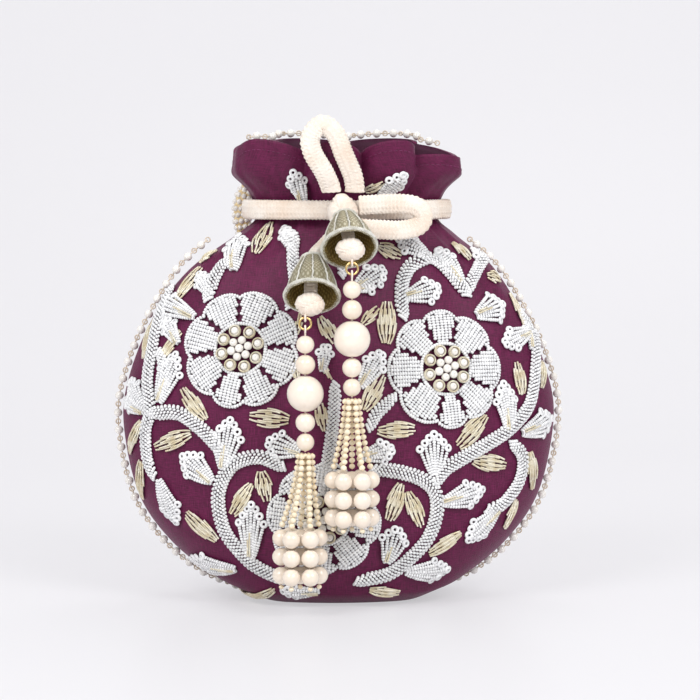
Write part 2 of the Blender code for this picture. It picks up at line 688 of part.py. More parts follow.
# Handle: a beaded rope, stitched at both ends behind the frill and hanging down the back
def behind(across, up, lift):
    """A point of the rope's middle on the back panel, in the same hundredths, a lift in millimetres off it."""
    x, z = spot(across, up)
    place, _ = on_panel(x, z, 0.0, BACK, 1)
    return Vector((x, place.y + HANDLE_ROPE / 2 + lift * MM, z))


def beside_neck(right, back, up):
    """A point beside the frill, in millimetres from the neck's right edge, its back and its height."""
    return Vector((NECK_WIDTH / 2, NECK_DEPTH / 2, NECK_HEIGHT)) + Vector((right, back, up)) * MM


HANDLE_HALF = [behind(0.0, 48.0, 0.9), behind(14.1, 50.9, 0.9), behind(25.2, 60.6, 0.9), behind(32.3, 73.7, 1.1),
               behind(36.3, 84.6, 1.6), beside_neck(0.0, 5.0, -13.0), beside_neck(3.1, 3.5, 2.0),
               beside_neck(0.0, 5.0, 12.0), beside_neck(-7.0, 7.0, 18.0)]
mirrored = [Vector((-p.x, p.y, p.z)) for p in reversed(HANDLE_HALF[1:])]
tube("handle_rope", smooth_path(mirrored + HANDLE_HALF, 9.0 * MM), HANDLE_ROPE, PEARL, sides=8)


# Tails: from the bow's knot down through each bell to the knot in its mouth
def tail(name, spec, start):
    top, knot = spec["top"], spec["knot"]
    way = (top - knot).normalized()
    reach = 1 / math.sqrt(sum((way[i] / (END_KNOT_SIZE[i] / 2)) ** 2 for i in range(3)))
    end = knot + way * (reach + 2 * CLEARANCE)
    tube(name, smooth_path([*start, top, end], 4 * MM), TAIL_THICKNESS, CORD)


tail("tail_right", SIDES["right"], [KNOT_CENTRE + Vector((0.4 * MM, -KNOT_SIZE[1] / 2 - 1.5 * MM, 0.0))])
tail("tail_left", SIDES["left"], [from_knot(-3.0, 0.0, -8.2), from_knot(-8.2, -3.2, -14.0)])

# The whole bag stands on one empty, which carries the seams' plane back from the origin
holder = bpy.data.objects.new("bag_holder", None)
holder.location.y = SEAM_Y
BAG.objects.link(holder)
for obj in [*BAG.objects, *GUIDES.objects]:
    if obj is not holder:
        obj.parent = holder
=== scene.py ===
# %% [markdown]
# # A potli bag, dressed around its fixed CAD frame
#
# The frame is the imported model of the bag. Nothing in it moves: this script lays the silk, the beads, the
# cord and the pearls over it, in metres, and says which part of the bag each piece travels with.

# %% The frame and its box
import json
import math
import random

import bmesh
import bpy
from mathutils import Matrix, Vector, noise
from mathutils.bvhtree import BVHTree

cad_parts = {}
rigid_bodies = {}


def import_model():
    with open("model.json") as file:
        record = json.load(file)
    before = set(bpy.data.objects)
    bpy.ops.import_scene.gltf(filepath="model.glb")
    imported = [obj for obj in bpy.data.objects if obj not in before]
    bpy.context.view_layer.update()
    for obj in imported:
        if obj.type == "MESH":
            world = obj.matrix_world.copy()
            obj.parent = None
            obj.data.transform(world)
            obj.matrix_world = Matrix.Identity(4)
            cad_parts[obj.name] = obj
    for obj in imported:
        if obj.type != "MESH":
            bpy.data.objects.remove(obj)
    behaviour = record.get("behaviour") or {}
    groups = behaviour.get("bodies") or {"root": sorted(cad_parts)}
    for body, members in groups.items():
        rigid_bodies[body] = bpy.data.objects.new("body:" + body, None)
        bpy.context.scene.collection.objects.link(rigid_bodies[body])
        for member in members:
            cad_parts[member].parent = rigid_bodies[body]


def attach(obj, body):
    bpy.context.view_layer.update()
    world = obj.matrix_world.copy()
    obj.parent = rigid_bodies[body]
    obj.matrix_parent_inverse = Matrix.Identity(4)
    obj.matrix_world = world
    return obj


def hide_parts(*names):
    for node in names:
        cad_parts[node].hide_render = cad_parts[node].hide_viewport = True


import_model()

MM = 0.001
SEAM_Y = 14.1 * MM          # the side seams' plane, behind the origin
ALONG_X, ALONG_Y, UP = Vector((1, 0, 0)), Vector((0, 1, 0)), Vector((0, 0, 1))
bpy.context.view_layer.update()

# %% [markdown]
# ## Camera
#
# The photograph was taken from a little above the table, almost straight on, with a long lens. The camera
# comes first, because the embroidery is later placed by looking through it: a place in the picture gives a
# ray, and the ray meets the silk.

# %% Camera
PICTURE = 700               # pixels each way
LOOK_AT = Vector((5.0, 14.1, 113.5)) * MM
CAMERA_DISTANCE = 1.3
VIEW_WIDTH = 322.6 * MM     # what the picture spans at the place looked at
azimuth, elevation = math.radians(-3), math.radians(4)
towards_camera = Vector((math.sin(azimuth) * math.cos(elevation),
                         -math.cos(azimuth) * math.cos(elevation), math.sin(elevation)))
camera = bpy.data.objects.new("camera", bpy.data.cameras.new("camera"))
camera.data.lens = camera.data.sensor_width * CAMERA_DISTANCE / VIEW_WIDTH
camera.location = LOOK_AT + towards_camera * CAMERA_DISTANCE
camera.rotation_euler = (-towards_camera).to_track_quat("-Z", "Y").to_euler()
bpy.context.scene.collection.objects.link(camera)
bpy.context.scene.camera = camera
picture_right = UP.cross(towards_camera).normalized()
picture_up = towards_camera.cross(picture_right)


def ray_through(across, down):
    """The direction from the camera through a place in the picture, in pixels from its top left corner."""
    scale = VIEW_WIDTH / PICTURE / CAMERA_DISTANCE
    return (-towards_camera + picture_right * (across - PICTURE / 2) * scale
            + picture_up * (PICTURE / 2 - down) * scale).normalized()


print(f"Lens {camera.data.lens:.0f} mm")

# %% [markdown]
# ## Shared tools
#
# Every piece becomes a plain mesh at the origin. A few helpers make such meshes, walk along a path in even
# steps, and build the node trees that repeat beads and threads.

# %% Meshes and paths
OBJECTS = bpy.context.scene.collection.objects


def piece(name, vertices, faces, finish=None):
    """A mesh object at the origin, whose faces point outwards."""
    mesh = bpy.data.meshes.new(name)
    mesh.from_pydata([tuple(v) for v in vertices], [], faces)
    form = bmesh.new()
    form.from_mesh(mesh)
    bmesh.ops.recalc_face_normals(form, faces=form.faces)
    form.to_mesh(mesh)
    form.free()
    mesh.shade_smooth()
    if finish:
        mesh.materials.append(finish)
    made = bpy.data.objects.new(name, mesh)
    OBJECTS.link(made)
    return made


def settled(made, body, *nodes, slot=None):
    """Says which part of the bag a piece rides on and the CAD nodes it is drawn for; its slot is not used."""
    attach(made, body)
    if nodes:
        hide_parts(*nodes)
    return made


def point_at(x, y, z):
    """A point given in millimetres, with y from the seams' plane."""
    return Vector((x, y, z)) * MM + Vector((0, SEAM_Y, 0))


def mirrored(points):
    """The points on the other side of the bag, the last one first."""
    return [Vector((-p.x, p.y, p.z)) for p in reversed(points)]


def circle(centre, radius, first, second, count=24, start=0.0):
    """A closed line round a centre, in the plane of two directions."""
    return [centre + (first * math.cos(a) + second * math.sin(a)) * radius
            for a in (math.tau * k / count + start for k in range(count + 1))]


def curved(a, b, c, d, t):
    """The smooth curve from b to c, which comes from a and goes on to d, at a share t of its length."""
    return 0.5 * (2 * b + (c - a) * t + (2 * a - 5 * b + 4 * c - d) * t**2 + (3 * b - a - 3 * c + d) * t**3)


def smooth_path(points, step):
    """Points about a step apart on a smooth curve through the ones given."""
    points = [Vector(p) for p in points]
    ends = [points[0] * 2 - points[1], *points, points[-1] * 2 - points[-2]]
    path = []
    for a, b, c, d in zip(ends, ends[1:], ends[2:], ends[3:]):
        count = max(1, round((c - b).length / step))
        path += [curved(a, b, c, d, i / count) for i in range(count)]
    return path + [points[-1]]


def evenly(line, pitch):
    """Points a pitch apart along the line, and the line's length."""
    lengths = [0.0]
    for a, b in zip(line, line[1:]):
        lengths.append(lengths[-1] + (b - a).length)
    count = max(2, round(lengths[-1] / pitch))
    places, k = [], 0
    for i in range(count + 1):
        want = lengths[-1] * i / count
        while k < len(line) - 2 and lengths[k + 1] < want:
            k += 1
        places.append(line[k].lerp(line[k + 1], (want - lengths[k]) / (lengths[k + 1] - lengths[k])))
    return places, lengths[-1]


def way_along(path, i, closed=False):
    """The path's direction at its point i."""
    if closed:
        return (path[(i + 1) % len(path)] - path[i - 1]).normalized()
    return (path[min(i + 1, len(path) - 1)] - path[max(i - 1, 0)]).normalized()


# %% [markdown]
# ## Node trees for beads and threads
#
# Thousands of beads follow a few rules, so two Geometry Nodes trees make them. The first sets a bead on
# each point, turned so that its hole lies along its thread, and gives each one its own slight size and
# shade. The second turns each line of points into a round thread, wire or tube. Both end as plain meshes.

# %% Tree tools
def new_tree(name, inputs):
    """A node group that takes a mesh and named inputs, with its input sockets and its output node."""
    tree = bpy.data.node_groups.new(name, "GeometryNodeTree")
    tree.interface.new_socket("Geometry", in_out="INPUT", socket_type="NodeSocketGeometry")
    for label, kind, value in inputs:
        socket = tree.interface.new_socket(label, in_out="INPUT", socket_type="NodeSocket" + kind)
        if value is not None:
            socket.default_value = value
    tree.interface.new_socket("Geometry", in_out="OUTPUT", socket_type="NodeSocketGeometry")
    return tree, tree.nodes.new("NodeGroupInput").outputs, tree.nodes.new("NodeGroupOutput")


def node(tree, kind, inputs=(), **settings):
    """A node with its settings. Its inputs are (socket, value), where a node stands for its first output."""
    made = tree.nodes.new(kind)
    for key, value in settings.items():
        setattr(made, key, value)
    for key, value in inputs:
        value = value.outputs[0] if isinstance(value, bpy.types.Node) else value
        if isinstance(value, bpy.types.NodeSocket):
            tree.links.new(value, made.inputs[key])
        else:
            made.inputs[key].default_value = value
    return made


def attribute_of(tree, name, kind):
    return node(tree, "GeometryNodeInputNamedAttribute", [("Name", name)], data_type=kind).outputs["Attribute"]


def sum_of(tree, operation, *values):
    """The result of a Math node."""
    return node(tree, "ShaderNodeMath", enumerate(values), operation=operation).outputs[0]


def finished(tree, last, given, result):
    """The end of each tree: the geometry is made real and takes its finish."""
    real = node(tree, "GeometryNodeRealizeInstances", [("Geometry", last)])
    dressed = node(tree, "GeometryNodeSetMaterial", [("Geometry", real), ("Material", given["Finish"])])
    tree.links.new(dressed.outputs[0], result.inputs[0])
    return tree


# %% Beads on points
def bead_tree():
    tree, given, result = new_tree("beads_on_points", [
        ("Bead", "Object", None), ("Width", "Float", 1.7 * MM), ("Length", "Float", 1.25 * MM),
        ("Uneven", "Float", 0.06), ("Seed", "Int", 3), ("Finish", "Material", None)])
    turn = node(tree, "FunctionNodeAlignRotationToVector",
                [("Vector", attribute_of(tree, "along", "FLOAT_VECTOR"))], axis="Z")
    turn = node(tree, "FunctionNodeAlignRotationToVector",
                [("Rotation", turn), ("Vector", attribute_of(tree, "out", "FLOAT_VECTOR"))],
                axis="X", pivot_axis="Z")
    uneven = node(tree, "FunctionNodeRandomValue", [
        (2, sum_of(tree, "SUBTRACT", 1.0, given["Uneven"])), (3, sum_of(tree, "ADD", 1.0, given["Uneven"])),
        ("Seed", given["Seed"])])
    size = sum_of(tree, "MULTIPLY", attribute_of(tree, "size", "FLOAT"), uneven.outputs[1])
    measures = node(tree, "ShaderNodeCombineXYZ", [
        ("X", given["Width"]), ("Y", given["Width"]), ("Z", given["Length"])])
    scale = node(tree, "ShaderNodeVectorMath", [(0, measures), ("Scale", size)],
                 operation="SCALE")
    bead = node(tree, "GeometryNodeObjectInfo", [("Object", given["Bead"])])
    beads = node(tree, "GeometryNodeInstanceOnPoints", [
        ("Points", given["Geometry"]), ("Instance", bead.outputs["Geometry"]),
        ("Rotation", turn), ("Scale", scale)])
    shade = node(tree, "FunctionNodeRandomValue", [("Seed", given["Seed"])])
    stored = node(tree, "GeometryNodeStoreNamedAttribute", [
        ("Geometry", beads), ("Name", "shade"), ("Value", shade.outputs[1])],
        data_type="FLOAT", domain="INSTANCE")
    return finished(tree, stored, given, result)


BEADS = bead_tree()


# %% Threads along lines
def thread_tree():
    tree, given, result = new_tree("threads_along_lines", [
        ("Thickness", "Float", 1.0 * MM), ("Sides", "Int", 6), ("Finish", "Material", None)])
    lines = node(tree, "GeometryNodeMeshToCurve", [("Mesh", given["Geometry"])])
    swelling = node(tree, "GeometryNodeSetCurveRadius", [
        ("Curve", lines), ("Radius", attribute_of(tree, "size", "FLOAT"))])
    run = node(tree, "GeometryNodeSplineParameter")
    measured = node(tree, "GeometryNodeStoreNamedAttribute", [
        ("Geometry", swelling), ("Name", "run"), ("Value", run.outputs["Length"])],
        data_type="FLOAT", domain="POINT")
    ring = node(tree, "GeometryNodeCurvePrimitiveCircle", [
        ("Resolution", given["Sides"]), ("Radius", sum_of(tree, "MULTIPLY", given["Thickness"], 0.5))])
    tubes = node(tree, "GeometryNodeCurveToMesh", [
        ("Curve", measured), ("Profile Curve", ring), ("Fill Caps", True)])
    smooth = node(tree, "GeometryNodeSetShadeSmooth", [("Geometry", tubes)])
    return finished(tree, smooth, given, result)


THREADS = thread_tree()


# %% [markdown]
# A tree works on a light mesh of points. Each point carries where its thread runs, which way is out and
# how large it is. `grown` runs the tree and keeps only the plain mesh that comes out.

# %% Growing a tree's result
def grown(name, tree, points, edges=(), **inputs):
    """Points are (place, along, out, size)."""
    mesh = bpy.data.meshes.new(name)
    mesh.from_pydata([tuple(p[0]) for p in points], list(edges), [])
    for key, kind, index in (("along", "FLOAT_VECTOR", 1), ("out", "FLOAT_VECTOR", 2), ("size", "FLOAT", 3)):
        layer = mesh.attributes.new(key, kind, "POINT")
        if kind == "FLOAT":
            layer.data.foreach_set("value", [p[index] for p in points])
        else:
            layer.data.foreach_set("vector", [x for p in points for x in p[index]])
    seedling = bpy.data.objects.new(name + "_points", mesh)
    OBJECTS.link(seedling)
    modifier = seedling.modifiers.new("grow", "NODES")
    modifier.node_group = tree
    sockets = {item.name: item.identifier for item in tree.interface.items_tree if item.in_out == "INPUT"}
    for key, value in inputs.items():
        modifier[sockets[key]] = value
    graph = bpy.context.evaluated_depsgraph_get()
    result = bpy.data.meshes.new_from_object(seedling.evaluated_get(graph))
    bpy.data.objects.remove(seedling)
    for old in ("along", "out", "size"):
        if old in result.attributes:
            result.attributes.remove(result.attributes[old])
    result.name = name
    made = bpy.data.objects.new(name, result)
    OBJECTS.link(made)
    return made


def threads(name, lines, thickness, finish, sides=6):
    """Round threads along lists of points."""
    points, edges = [], []
    for line in lines:
        start = len(points)
        points += [(place, UP, ALONG_X, 1.0) for place in line]
        edges += [(start + i, start + i + 1) for i in range(len(line) - 1)]
    return grown(name, THREADS, points, edges, Thickness=thickness, Sides=sides, Finish=finish)


# %% [markdown]
# ## Bead shapes
#
# A bead is turned: a profile with a bore, swept round its axis. Its poles are open where the thread goes
# through, which is why a pearl shows a dimple where it meets the next one. Each is one unit wide and long.

# %% Bead shapes
def turned(profile, sides):
    """The points and faces of a closed profile of (radius, height) swept round the axis."""
    vertices = [(r * math.cos(math.tau * i / sides), r * math.sin(math.tau * i / sides), z)
                for i in range(sides) for r, z in profile]
    count = len(profile)
    faces = [(i * count + k, ((i + 1) % sides) * count + k, ((i + 1) % sides) * count + (k + 1) % count,
              i * count + (k + 1) % count) for i in range(sides) for k in range(count)]
    return vertices, faces


def bead_shape(name, bore, rings, sides, square=1.0):
    """A bead with a bore, as a share of its width. square over 1 flattens its side, as on a cut bead."""
    reach = math.acos(bore)
    outer = []
    for k in range(rings + 1):
        a = reach - 2 * reach * k / rings
        outer.append((0.5 * math.cos(a) ** (1 / square), 0.5 * math.sin(a) / math.sin(reach)))
    made = piece(name, *turned(outer, sides))
    made.hide_render = True
    return made


SEED = bead_shape("seed_shape", 0.30, 4, 7, square=1.5)
RING_SEQUIN = bead_shape("sequin_shape", 0.17, 5, 14, square=1.6)
PEARL = bead_shape("pearl_shape", 0.10, 14, 28)
SMALL_PEARL = bead_shape("small_pearl_shape", 0.12, 8, 14)
print("Bead shapes:", SEED.name, RING_SEQUIN.name, PEARL.name, SMALL_PEARL.name)


# %% [markdown]
# ## Finishes
#
# Each material is a small set of nodes on the Principled shader. The silk reads its own UV map, in metres,
# so that the slubs follow the cloth. Beads read the shade that the tree gave each one.

# %% Material tools
def finish(name, colour, roughness, **sockets):
    made = bpy.data.materials.new(name)
    made.use_nodes = True
    shader = made.node_tree.nodes["Principled BSDF"]
    shader.inputs["Base Color"].default_value = (*colour, 1.0)
    shader.inputs["Roughness"].default_value = roughness
    for key, value in sockets.items():
        shader.inputs[key.replace("_", " ")].default_value = value
    return made


def shader_of(material):
    return material.node_tree, material.node_tree.nodes["Principled BSDF"]


def mixed(tree, factor, dark, light):
    """A colour between two, by a value from 0 to 1."""
    made = node(tree, "ShaderNodeMix", [(0, factor), (6, (*dark, 1.0)), (7, (*light, 1.0))], data_type="RGBA")
    return made.outputs[2]


def ranged(tree, value, low, high, new_low, new_high):
    return node(tree, "ShaderNodeMapRange", [
        ("Value", value), ("From Min", low), ("From Max", high), ("To Min", new_low), ("To Max", new_high)]
        ).outputs[0]


def object_place(tree):
    return node(tree, "ShaderNodeTexCoord").outputs["Object"]


def cloudy(tree, place, scale, detail=2.0, roughness=0.5):
    """Soft noise from 0 to 1. The larger the scale, the finer it is."""
    return node(tree, "ShaderNodeTexNoise", [("Vector", place), ("Scale", scale), ("Detail", detail),
                                             ("Roughness", roughness)]).outputs["Fac"]


def bumped(tree, shader, height, distance):
    bump = node(tree, "ShaderNodeBump", [("Height", height), ("Distance", distance), ("Strength", 1.0)])
    tree.links.new(bump.outputs[0], shader.inputs["Normal"])


# %% Raw silk
def silk_finish(name, dark, light, roughness):
    """Plain-woven raw silk: thick and thin threads both ways, with a soft sheen."""
    made = finish(name, light, roughness, Sheen_Weight=0.10, Sheen_Roughness=0.4, Specular_IOR_Level=0.22)
    tree, shader = shader_of(made)
    shader.inputs["Sheen Tint"].default_value = (0.8, 0.35, 0.6, 1.0)
    place = node(tree, "ShaderNodeUVMap", uv_map="cloth").outputs[0]
    slubs = []
    for stretch in ((260, 2600, 1), (3400, 180, 1)):
        turn = node(tree, "ShaderNodeMapping", [("Vector", place), ("Scale", stretch)])
        slubs.append(cloudy(tree, turn, 1.0, 3.0, 0.6))
    weave = sum_of(tree, "ADD", *slubs)
    tree.links.new(mixed(tree, ranged(tree, weave, 0.75, 1.3, 0.0, 1.0), dark, light), shader.inputs["Base Color"])
    tree.links.new(ranged(tree, slubs[0], 0.3, 0.7, roughness - 0.06, roughness + 0.1), shader.inputs["Roughness"])
    bumped(tree, shader, weave, 0.12 * MM)
    return made


SILK = silk_finish("maroon_raw_silk", (0.056, 0.006, 0.026), (0.165, 0.013, 0.072), 0.46)
LINING = silk_finish("plum_lining", (0.035, 0.005, 0.018), (0.060, 0.008, 0.032), 0.55)


# %% Beads and pearls
def bead_finish(name, dark, light, roughness, **sockets):
    """Each bead takes its own tone between two, with a little cloud over it."""
    made = finish(name, light, roughness, **sockets)
    tree, shader = shader_of(made)
    shade = node(tree, "ShaderNodeAttribute", attribute_name="shade").outputs["Fac"]
    cloud = cloudy(tree, object_place(tree), 420.0)
    tone = sum_of(tree, "MULTIPLY_ADD", shade, 0.65, ranged(tree, cloud, 0.3, 0.7, 0.0, 0.35))
    tree.links.new(mixed(tree, tone, dark, light), shader.inputs["Base Color"])
    tree.links.new(ranged(tree, cloud, 0.3, 0.7, roughness - 0.04, roughness + 0.06), shader.inputs["Roughness"])
    return made


WHITE_SEEDS = bead_finish("white_seed_beads", (0.74, 0.74, 0.75), (0.88, 0.88, 0.88), 0.24)
CREAM_SEEDS = bead_finish("cream_seed_beads", (0.80, 0.66, 0.45), (0.88, 0.79, 0.62), 0.20)
IVORY_PEARLS = bead_finish("ivory_pearls", (0.80, 0.68, 0.55), (0.88, 0.78, 0.67), 0.16,
                           Coat_Weight=0.5, Coat_Roughness=0.06, Sheen_Weight=0.15)
LACE_PEARLS = bead_finish("lace_pearls", (0.78, 0.74, 0.68), (0.87, 0.84, 0.80), 0.18,
                          Coat_Weight=0.4, Coat_Roughness=0.08)


# %% Threads, cords, wire and tissue
def thread_finish(name, dark, light, roughness, pitch, depth, **sockets):
    """A thread or coil with fine rings round it, a pitch apart."""
    made = finish(name, light, roughness, **sockets)
    tree, shader = shader_of(made)
    run = node(tree, "ShaderNodeAttribute", attribute_name="run").outputs["Fac"]
    rings = sum_of(tree, "SINE", sum_of(tree, "MULTIPLY", run, math.tau / pitch))
    cloud = cloudy(tree, object_place(tree), 300.0, 3.0)
    tree.links.new(mixed(tree, ranged(tree, cloud, 0.35, 0.65, 0.0, 1.0), dark, light), shader.inputs["Base Color"])
    bumped(tree, shader, rings, depth)
    return made


BULLION = thread_finish("gold_bullion", (0.72, 0.62, 0.42), (0.93, 0.88, 0.74), 0.32, 0.42 * MM, 0.05 * MM,
                        Metallic=0.45)
WIRE = finish("gold_wire", (0.83, 0.60, 0.26), 0.24, Metallic=1.0)
tree, shader = shader_of(WIRE)
wear = cloudy(tree, object_place(tree), 500.0)
tree.links.new(ranged(tree, wear, 0.3, 0.7, 0.16, 0.34), shader.inputs["Roughness"])
TASSEL_THREAD = thread_finish("yellow_thread", (0.72, 0.52, 0.24), (0.84, 0.66, 0.36), 0.6, 0.5 * MM, 0.05 * MM)
LACE_THREAD = thread_finish("lace_thread", (0.62, 0.50, 0.38), (0.80, 0.70, 0.58), 0.75, 0.6 * MM, 0.08 * MM)
SILVER_THREAD = thread_finish("silver_thread", (0.66, 0.64, 0.56), (0.86, 0.85, 0.79), 0.42, 0.5 * MM, 0.08 * MM,
                              Metallic=0.25)
HEM_THREAD = thread_finish("maroon_thread", (0.08, 0.008, 0.04), (0.20, 0.02, 0.10), 0.5, 0.4 * MM, 0.03 * MM)


def cord_finish(name, dark, light):
    """Knitted cotton: fine fibres over the stitches, which are in the mesh."""
    made = finish(name, light, 0.85, Sheen_Weight=0.35, Sheen_Roughness=0.5)
    tree, shader = shader_of(made)
    fibre, tint = cloudy(tree, object_place(tree), 2600.0, 3.0), cloudy(tree, object_place(tree), 90.0)
    tone = sum_of(tree, "ADD", fibre, tint)
    tree.links.new(mixed(tree, ranged(tree, tone, 0.75, 1.2, 0.0, 1.0), dark, light), shader.inputs["Base Color"])
    bumped(tree, shader, fibre, 0.12 * MM)
    return made


CREAM_CORD = cord_finish("cream_cord", (0.76, 0.62, 0.50), (0.88, 0.81, 0.73))
STRAP = cord_finish("golden_strap", (0.62, 0.44, 0.20), (0.78, 0.62, 0.36))


def tissue_finish(name, dark, light, roughness):
    """Metallic tissue: a fine diamond weave of gold and grey threads, on the bell's own UV map."""
    made = finish(name, light, roughness, Metallic=0.45)
    tree, shader = shader_of(made)
    place = node(tree, "ShaderNodeUVMap", uv_map="cloth").outputs[0]
    ways = []
    for angle in (0.9, -0.9):
        turn = node(tree, "ShaderNodeMapping", [("Vector", place), ("Rotation", (0, 0, angle))])
        wave = node(tree, "ShaderNodeTexWave", [("Vector", turn), ("Scale", 320.0), ("Distortion", 0.4)])
        ways.append(wave.outputs["Fac"])
    weave = sum_of(tree, "MULTIPLY", *ways)
    tree.links.new(mixed(tree, weave, dark, light), shader.inputs["Base Color"])
    bumped(tree, shader, weave, 0.15 * MM)
    return made


TISSUE = tissue_finish("gold_tissue", (0.30, 0.27, 0.17), (0.62, 0.58, 0.44), 0.42)
TISSUE_INSIDE = tissue_finish("gold_tissue_inside", (0.22, 0.15, 0.04), (0.50, 0.38, 0.14), 0.45)
print("Finishes:", len(bpy.data.materials))


# %% [markdown]
# ## Floor, backdrop and light
#
# The bag stands on a pale, slightly glossy table in front of a pale wall, lit by two soft boxes in front
# of it, left and right. The picture's white comes from the colour that the floor and the wall show to the
# camera, not from more light on the bag.

# %% Floor and backdrop
OWN_GLOW = 0.62             # how much of its colour the backdrop shows by itself


def pale_finish(name, colour, roughness, shine):
    """A matt surface that shows the camera, and reflections in the bag, its own plain colour."""
    made = finish(name, colour, roughness, Specular_IOR_Level=shine)
    tree, shader = shader_of(made)
    glow = node(tree, "ShaderNodeEmission", [("Color", (*colour, 1.0)), ("Strength", 1.0)])
    path = node(tree, "ShaderNodeLightPath")
    seen = sum_of(tree, "MAXIMUM", path.outputs["Is Camera Ray"], path.outputs["Is Glossy Ray"])
    seen = sum_of(tree, "MAXIMUM", seen, path.outputs["Is Transmission Ray"])
    part = sum_of(tree, "MULTIPLY", seen, OWN_GLOW)
    blend = node(tree, "ShaderNodeMixShader", [(0, part), (1, shader), (2, glow)])
    tree.links.new(blend.outputs[0], tree.nodes["Material Output"].inputs["Surface"])
    return made


SPREAD, WALL_Y, WALL_HEIGHT, CORNER = 3.0, 1.1, 2.4, 0.5
sweep = [(-SPREAD, 0.0), (WALL_Y - CORNER, 0.0)]
sweep += [(WALL_Y - CORNER + CORNER * math.sin(a), CORNER - CORNER * math.cos(a))
          for a in (math.radians(d) for d in range(10, 91, 10))] + [(WALL_Y, WALL_HEIGHT)]
backdrop = piece("backdrop", [(x, y, z) for y, z in sweep for x in (-SPREAD, SPREAD)],
                 [(2 * i, 2 * i + 1, 2 * i + 3, 2 * i + 2) for i in range(len(sweep) - 1)],
                 pale_finish("pale_table", (0.83, 0.82, 0.845), 0.35, 0.35))

# %% Light
world = bpy.data.worlds.new("studio")
world.use_nodes = True
world.node_tree.nodes["Background"].inputs["Color"].default_value = (0.97, 0.98, 1.0, 1.0)
world.node_tree.nodes["Background"].inputs["Strength"].default_value = 0.55
bpy.context.scene.world = world
bpy.context.scene.view_settings.view_transform = "Standard"


def soft_box(name, side, height, size, power):
    """A square light that faces the bag, from an angle to the side and one above it, in degrees."""
    light = bpy.data.lights.new(name, "AREA")
    light.size = size
    light.energy = power
    lamp = bpy.data.objects.new(name, light)
    a, e = math.radians(side), math.radians(height)
    way = Vector((math.sin(a) * math.cos(e), -math.cos(a) * math.cos(e), math.sin(e)))
    lamp.location = Vector((0, 0, 0.11)) + way * 1.5
    lamp.rotation_euler = way.to_track_quat("Z", "Y").to_euler()
    OBJECTS.link(lamp)


soft_box("soft_box_left", -38, 36, 0.62, 11.0)
soft_box("soft_box_right", 34, 36, 0.62, 11.0)
soft_box("soft_box_back", 160, 55, 0.9, 7.0)
print("Lamps:", [lamp.name for lamp in bpy.data.lights])

# %% [markdown]
# ## The silk body
#
# The bag is two padded panels of raw silk, sewn together at the sides and under the bag and drawn in at
# the neck, so that the cloth above it opens into a frill. Each panel is lofted: a list of sections, from
# the seam below to the frill's edge, gives the width and the depth at each height, and the point at any
# place is blended from them. Cloth simulation would lose the measured outline, so the gathers, the frill's
# folds, the hem and small dents are added to the loft by rule. The sections are those of the frame.

# %% Sizes of the body
HALF_WIDTH, HALF_DEPTH = 99.2 * MM, 47.0 * MM
NECK_HEIGHT, FRILL_HEIGHT = 175.0 * MM, 36.0 * MM
NECK_WIDTH, NECK_DEPTH = 83.0 * MM, 43.0 * MM
FRILL_WIDTH, FRILL_DEPTH = 105.0 * MM, 62.0 * MM
NECK_SHIFT, HALF_BASE = 3.5 * MM, 47.0 * MM
WALL, SEAM_GAP, GROOVE = 2.4 * MM, 0.2 * MM, 6.45 * MM
FRILL_FOLD, GATHER, GATHER_COUNT = 5.6 * MM, 0.8 * MM, 9
FRILL_TOP = NECK_HEIGHT + FRILL_HEIGHT
HEM = 5.0 * MM


def body_section(width, height, depth, middle=None):
    """Half the width, the seam's height, half the depth and the middle's height, from shares of the sizes."""
    middle = height if middle is None else middle
    return (width * HALF_WIDTH, height * NECK_HEIGHT, depth * HALF_DEPTH, middle * NECK_HEIGHT)


def frill_section(height, width, depth):
    """The same for the frill, from shares of the way from the neck to its edge."""
    z = NECK_HEIGHT + height * FRILL_HEIGHT
    return (NECK_WIDTH / 2 + width * (FRILL_WIDTH - NECK_WIDTH) / 2, z,
            NECK_DEPTH / 2 + depth * (FRILL_DEPTH - NECK_DEPTH) / 2, z)


SECTIONS = [
    (0.64 * HALF_BASE, GROOVE, SEAM_GAP, GROOVE),
    (0.77 * HALF_BASE, GROOVE, 4.2 * MM, GROOVE - 1.0 * MM),
    (0.85 * HALF_BASE, GROOVE, 8.5 * MM, 0.0),
    (HALF_BASE, GROOVE + 0.8 * MM, 0.63 * HALF_DEPTH, 0.0),
    body_section(0.605, 0.070, 0.84, 0.031),
    body_section(0.786, 0.151, 0.957, 0.131),
    body_section(0.932, 0.274, 1.0, 0.269),
    body_section(1.0, 0.457, 0.989),
    body_section(0.973, 0.583, 0.947),
    body_section(0.867, 0.731, 0.83),
    body_section(0.706, 0.863, 0.67),
    body_section(0.504, 0.954, 0.521),
    (NECK_WIDTH / 2, NECK_HEIGHT, NECK_DEPTH / 2, NECK_HEIGHT),
    frill_section(0.30, 0.30, 0.20),
    frill_section(0.58, 1.0, 0.80),
    frill_section(1.0, 0.94, 1.0),
]
FLAT_SECTIONS, FLAT_SHARE = 4, 0.55
VALLEYS = {-1: (0, 52, 84, 114, 180), 1: (0, 45, 90, 135, 180)}
LOBE_DROPS = {-1: (7.0 * MM, 1.0 * MM, 2.0 * MM, 0.0), 1: (4.0 * MM, 0.0, 0.0, 0.0)}
VALLEY_DROP = {-1: 8.0 * MM, 1: 2.5 * MM}  # how far the edge dips between two lobes
SEAM_DROPS = (10.5 * MM, 8.0 * MM)  # and at the right and the left seam
CORNER_FROM = 0.68                  # the share of the half width where the drop to the seam begins
LAST = len(SECTIONS) - 1


def ramp(value, low, high):
    """Rises softly from 0 at low to 1 at high."""
    t = min(1.0, max(0.0, (value - low) / (high - low)))
    return t * t * (3 - 2 * t)


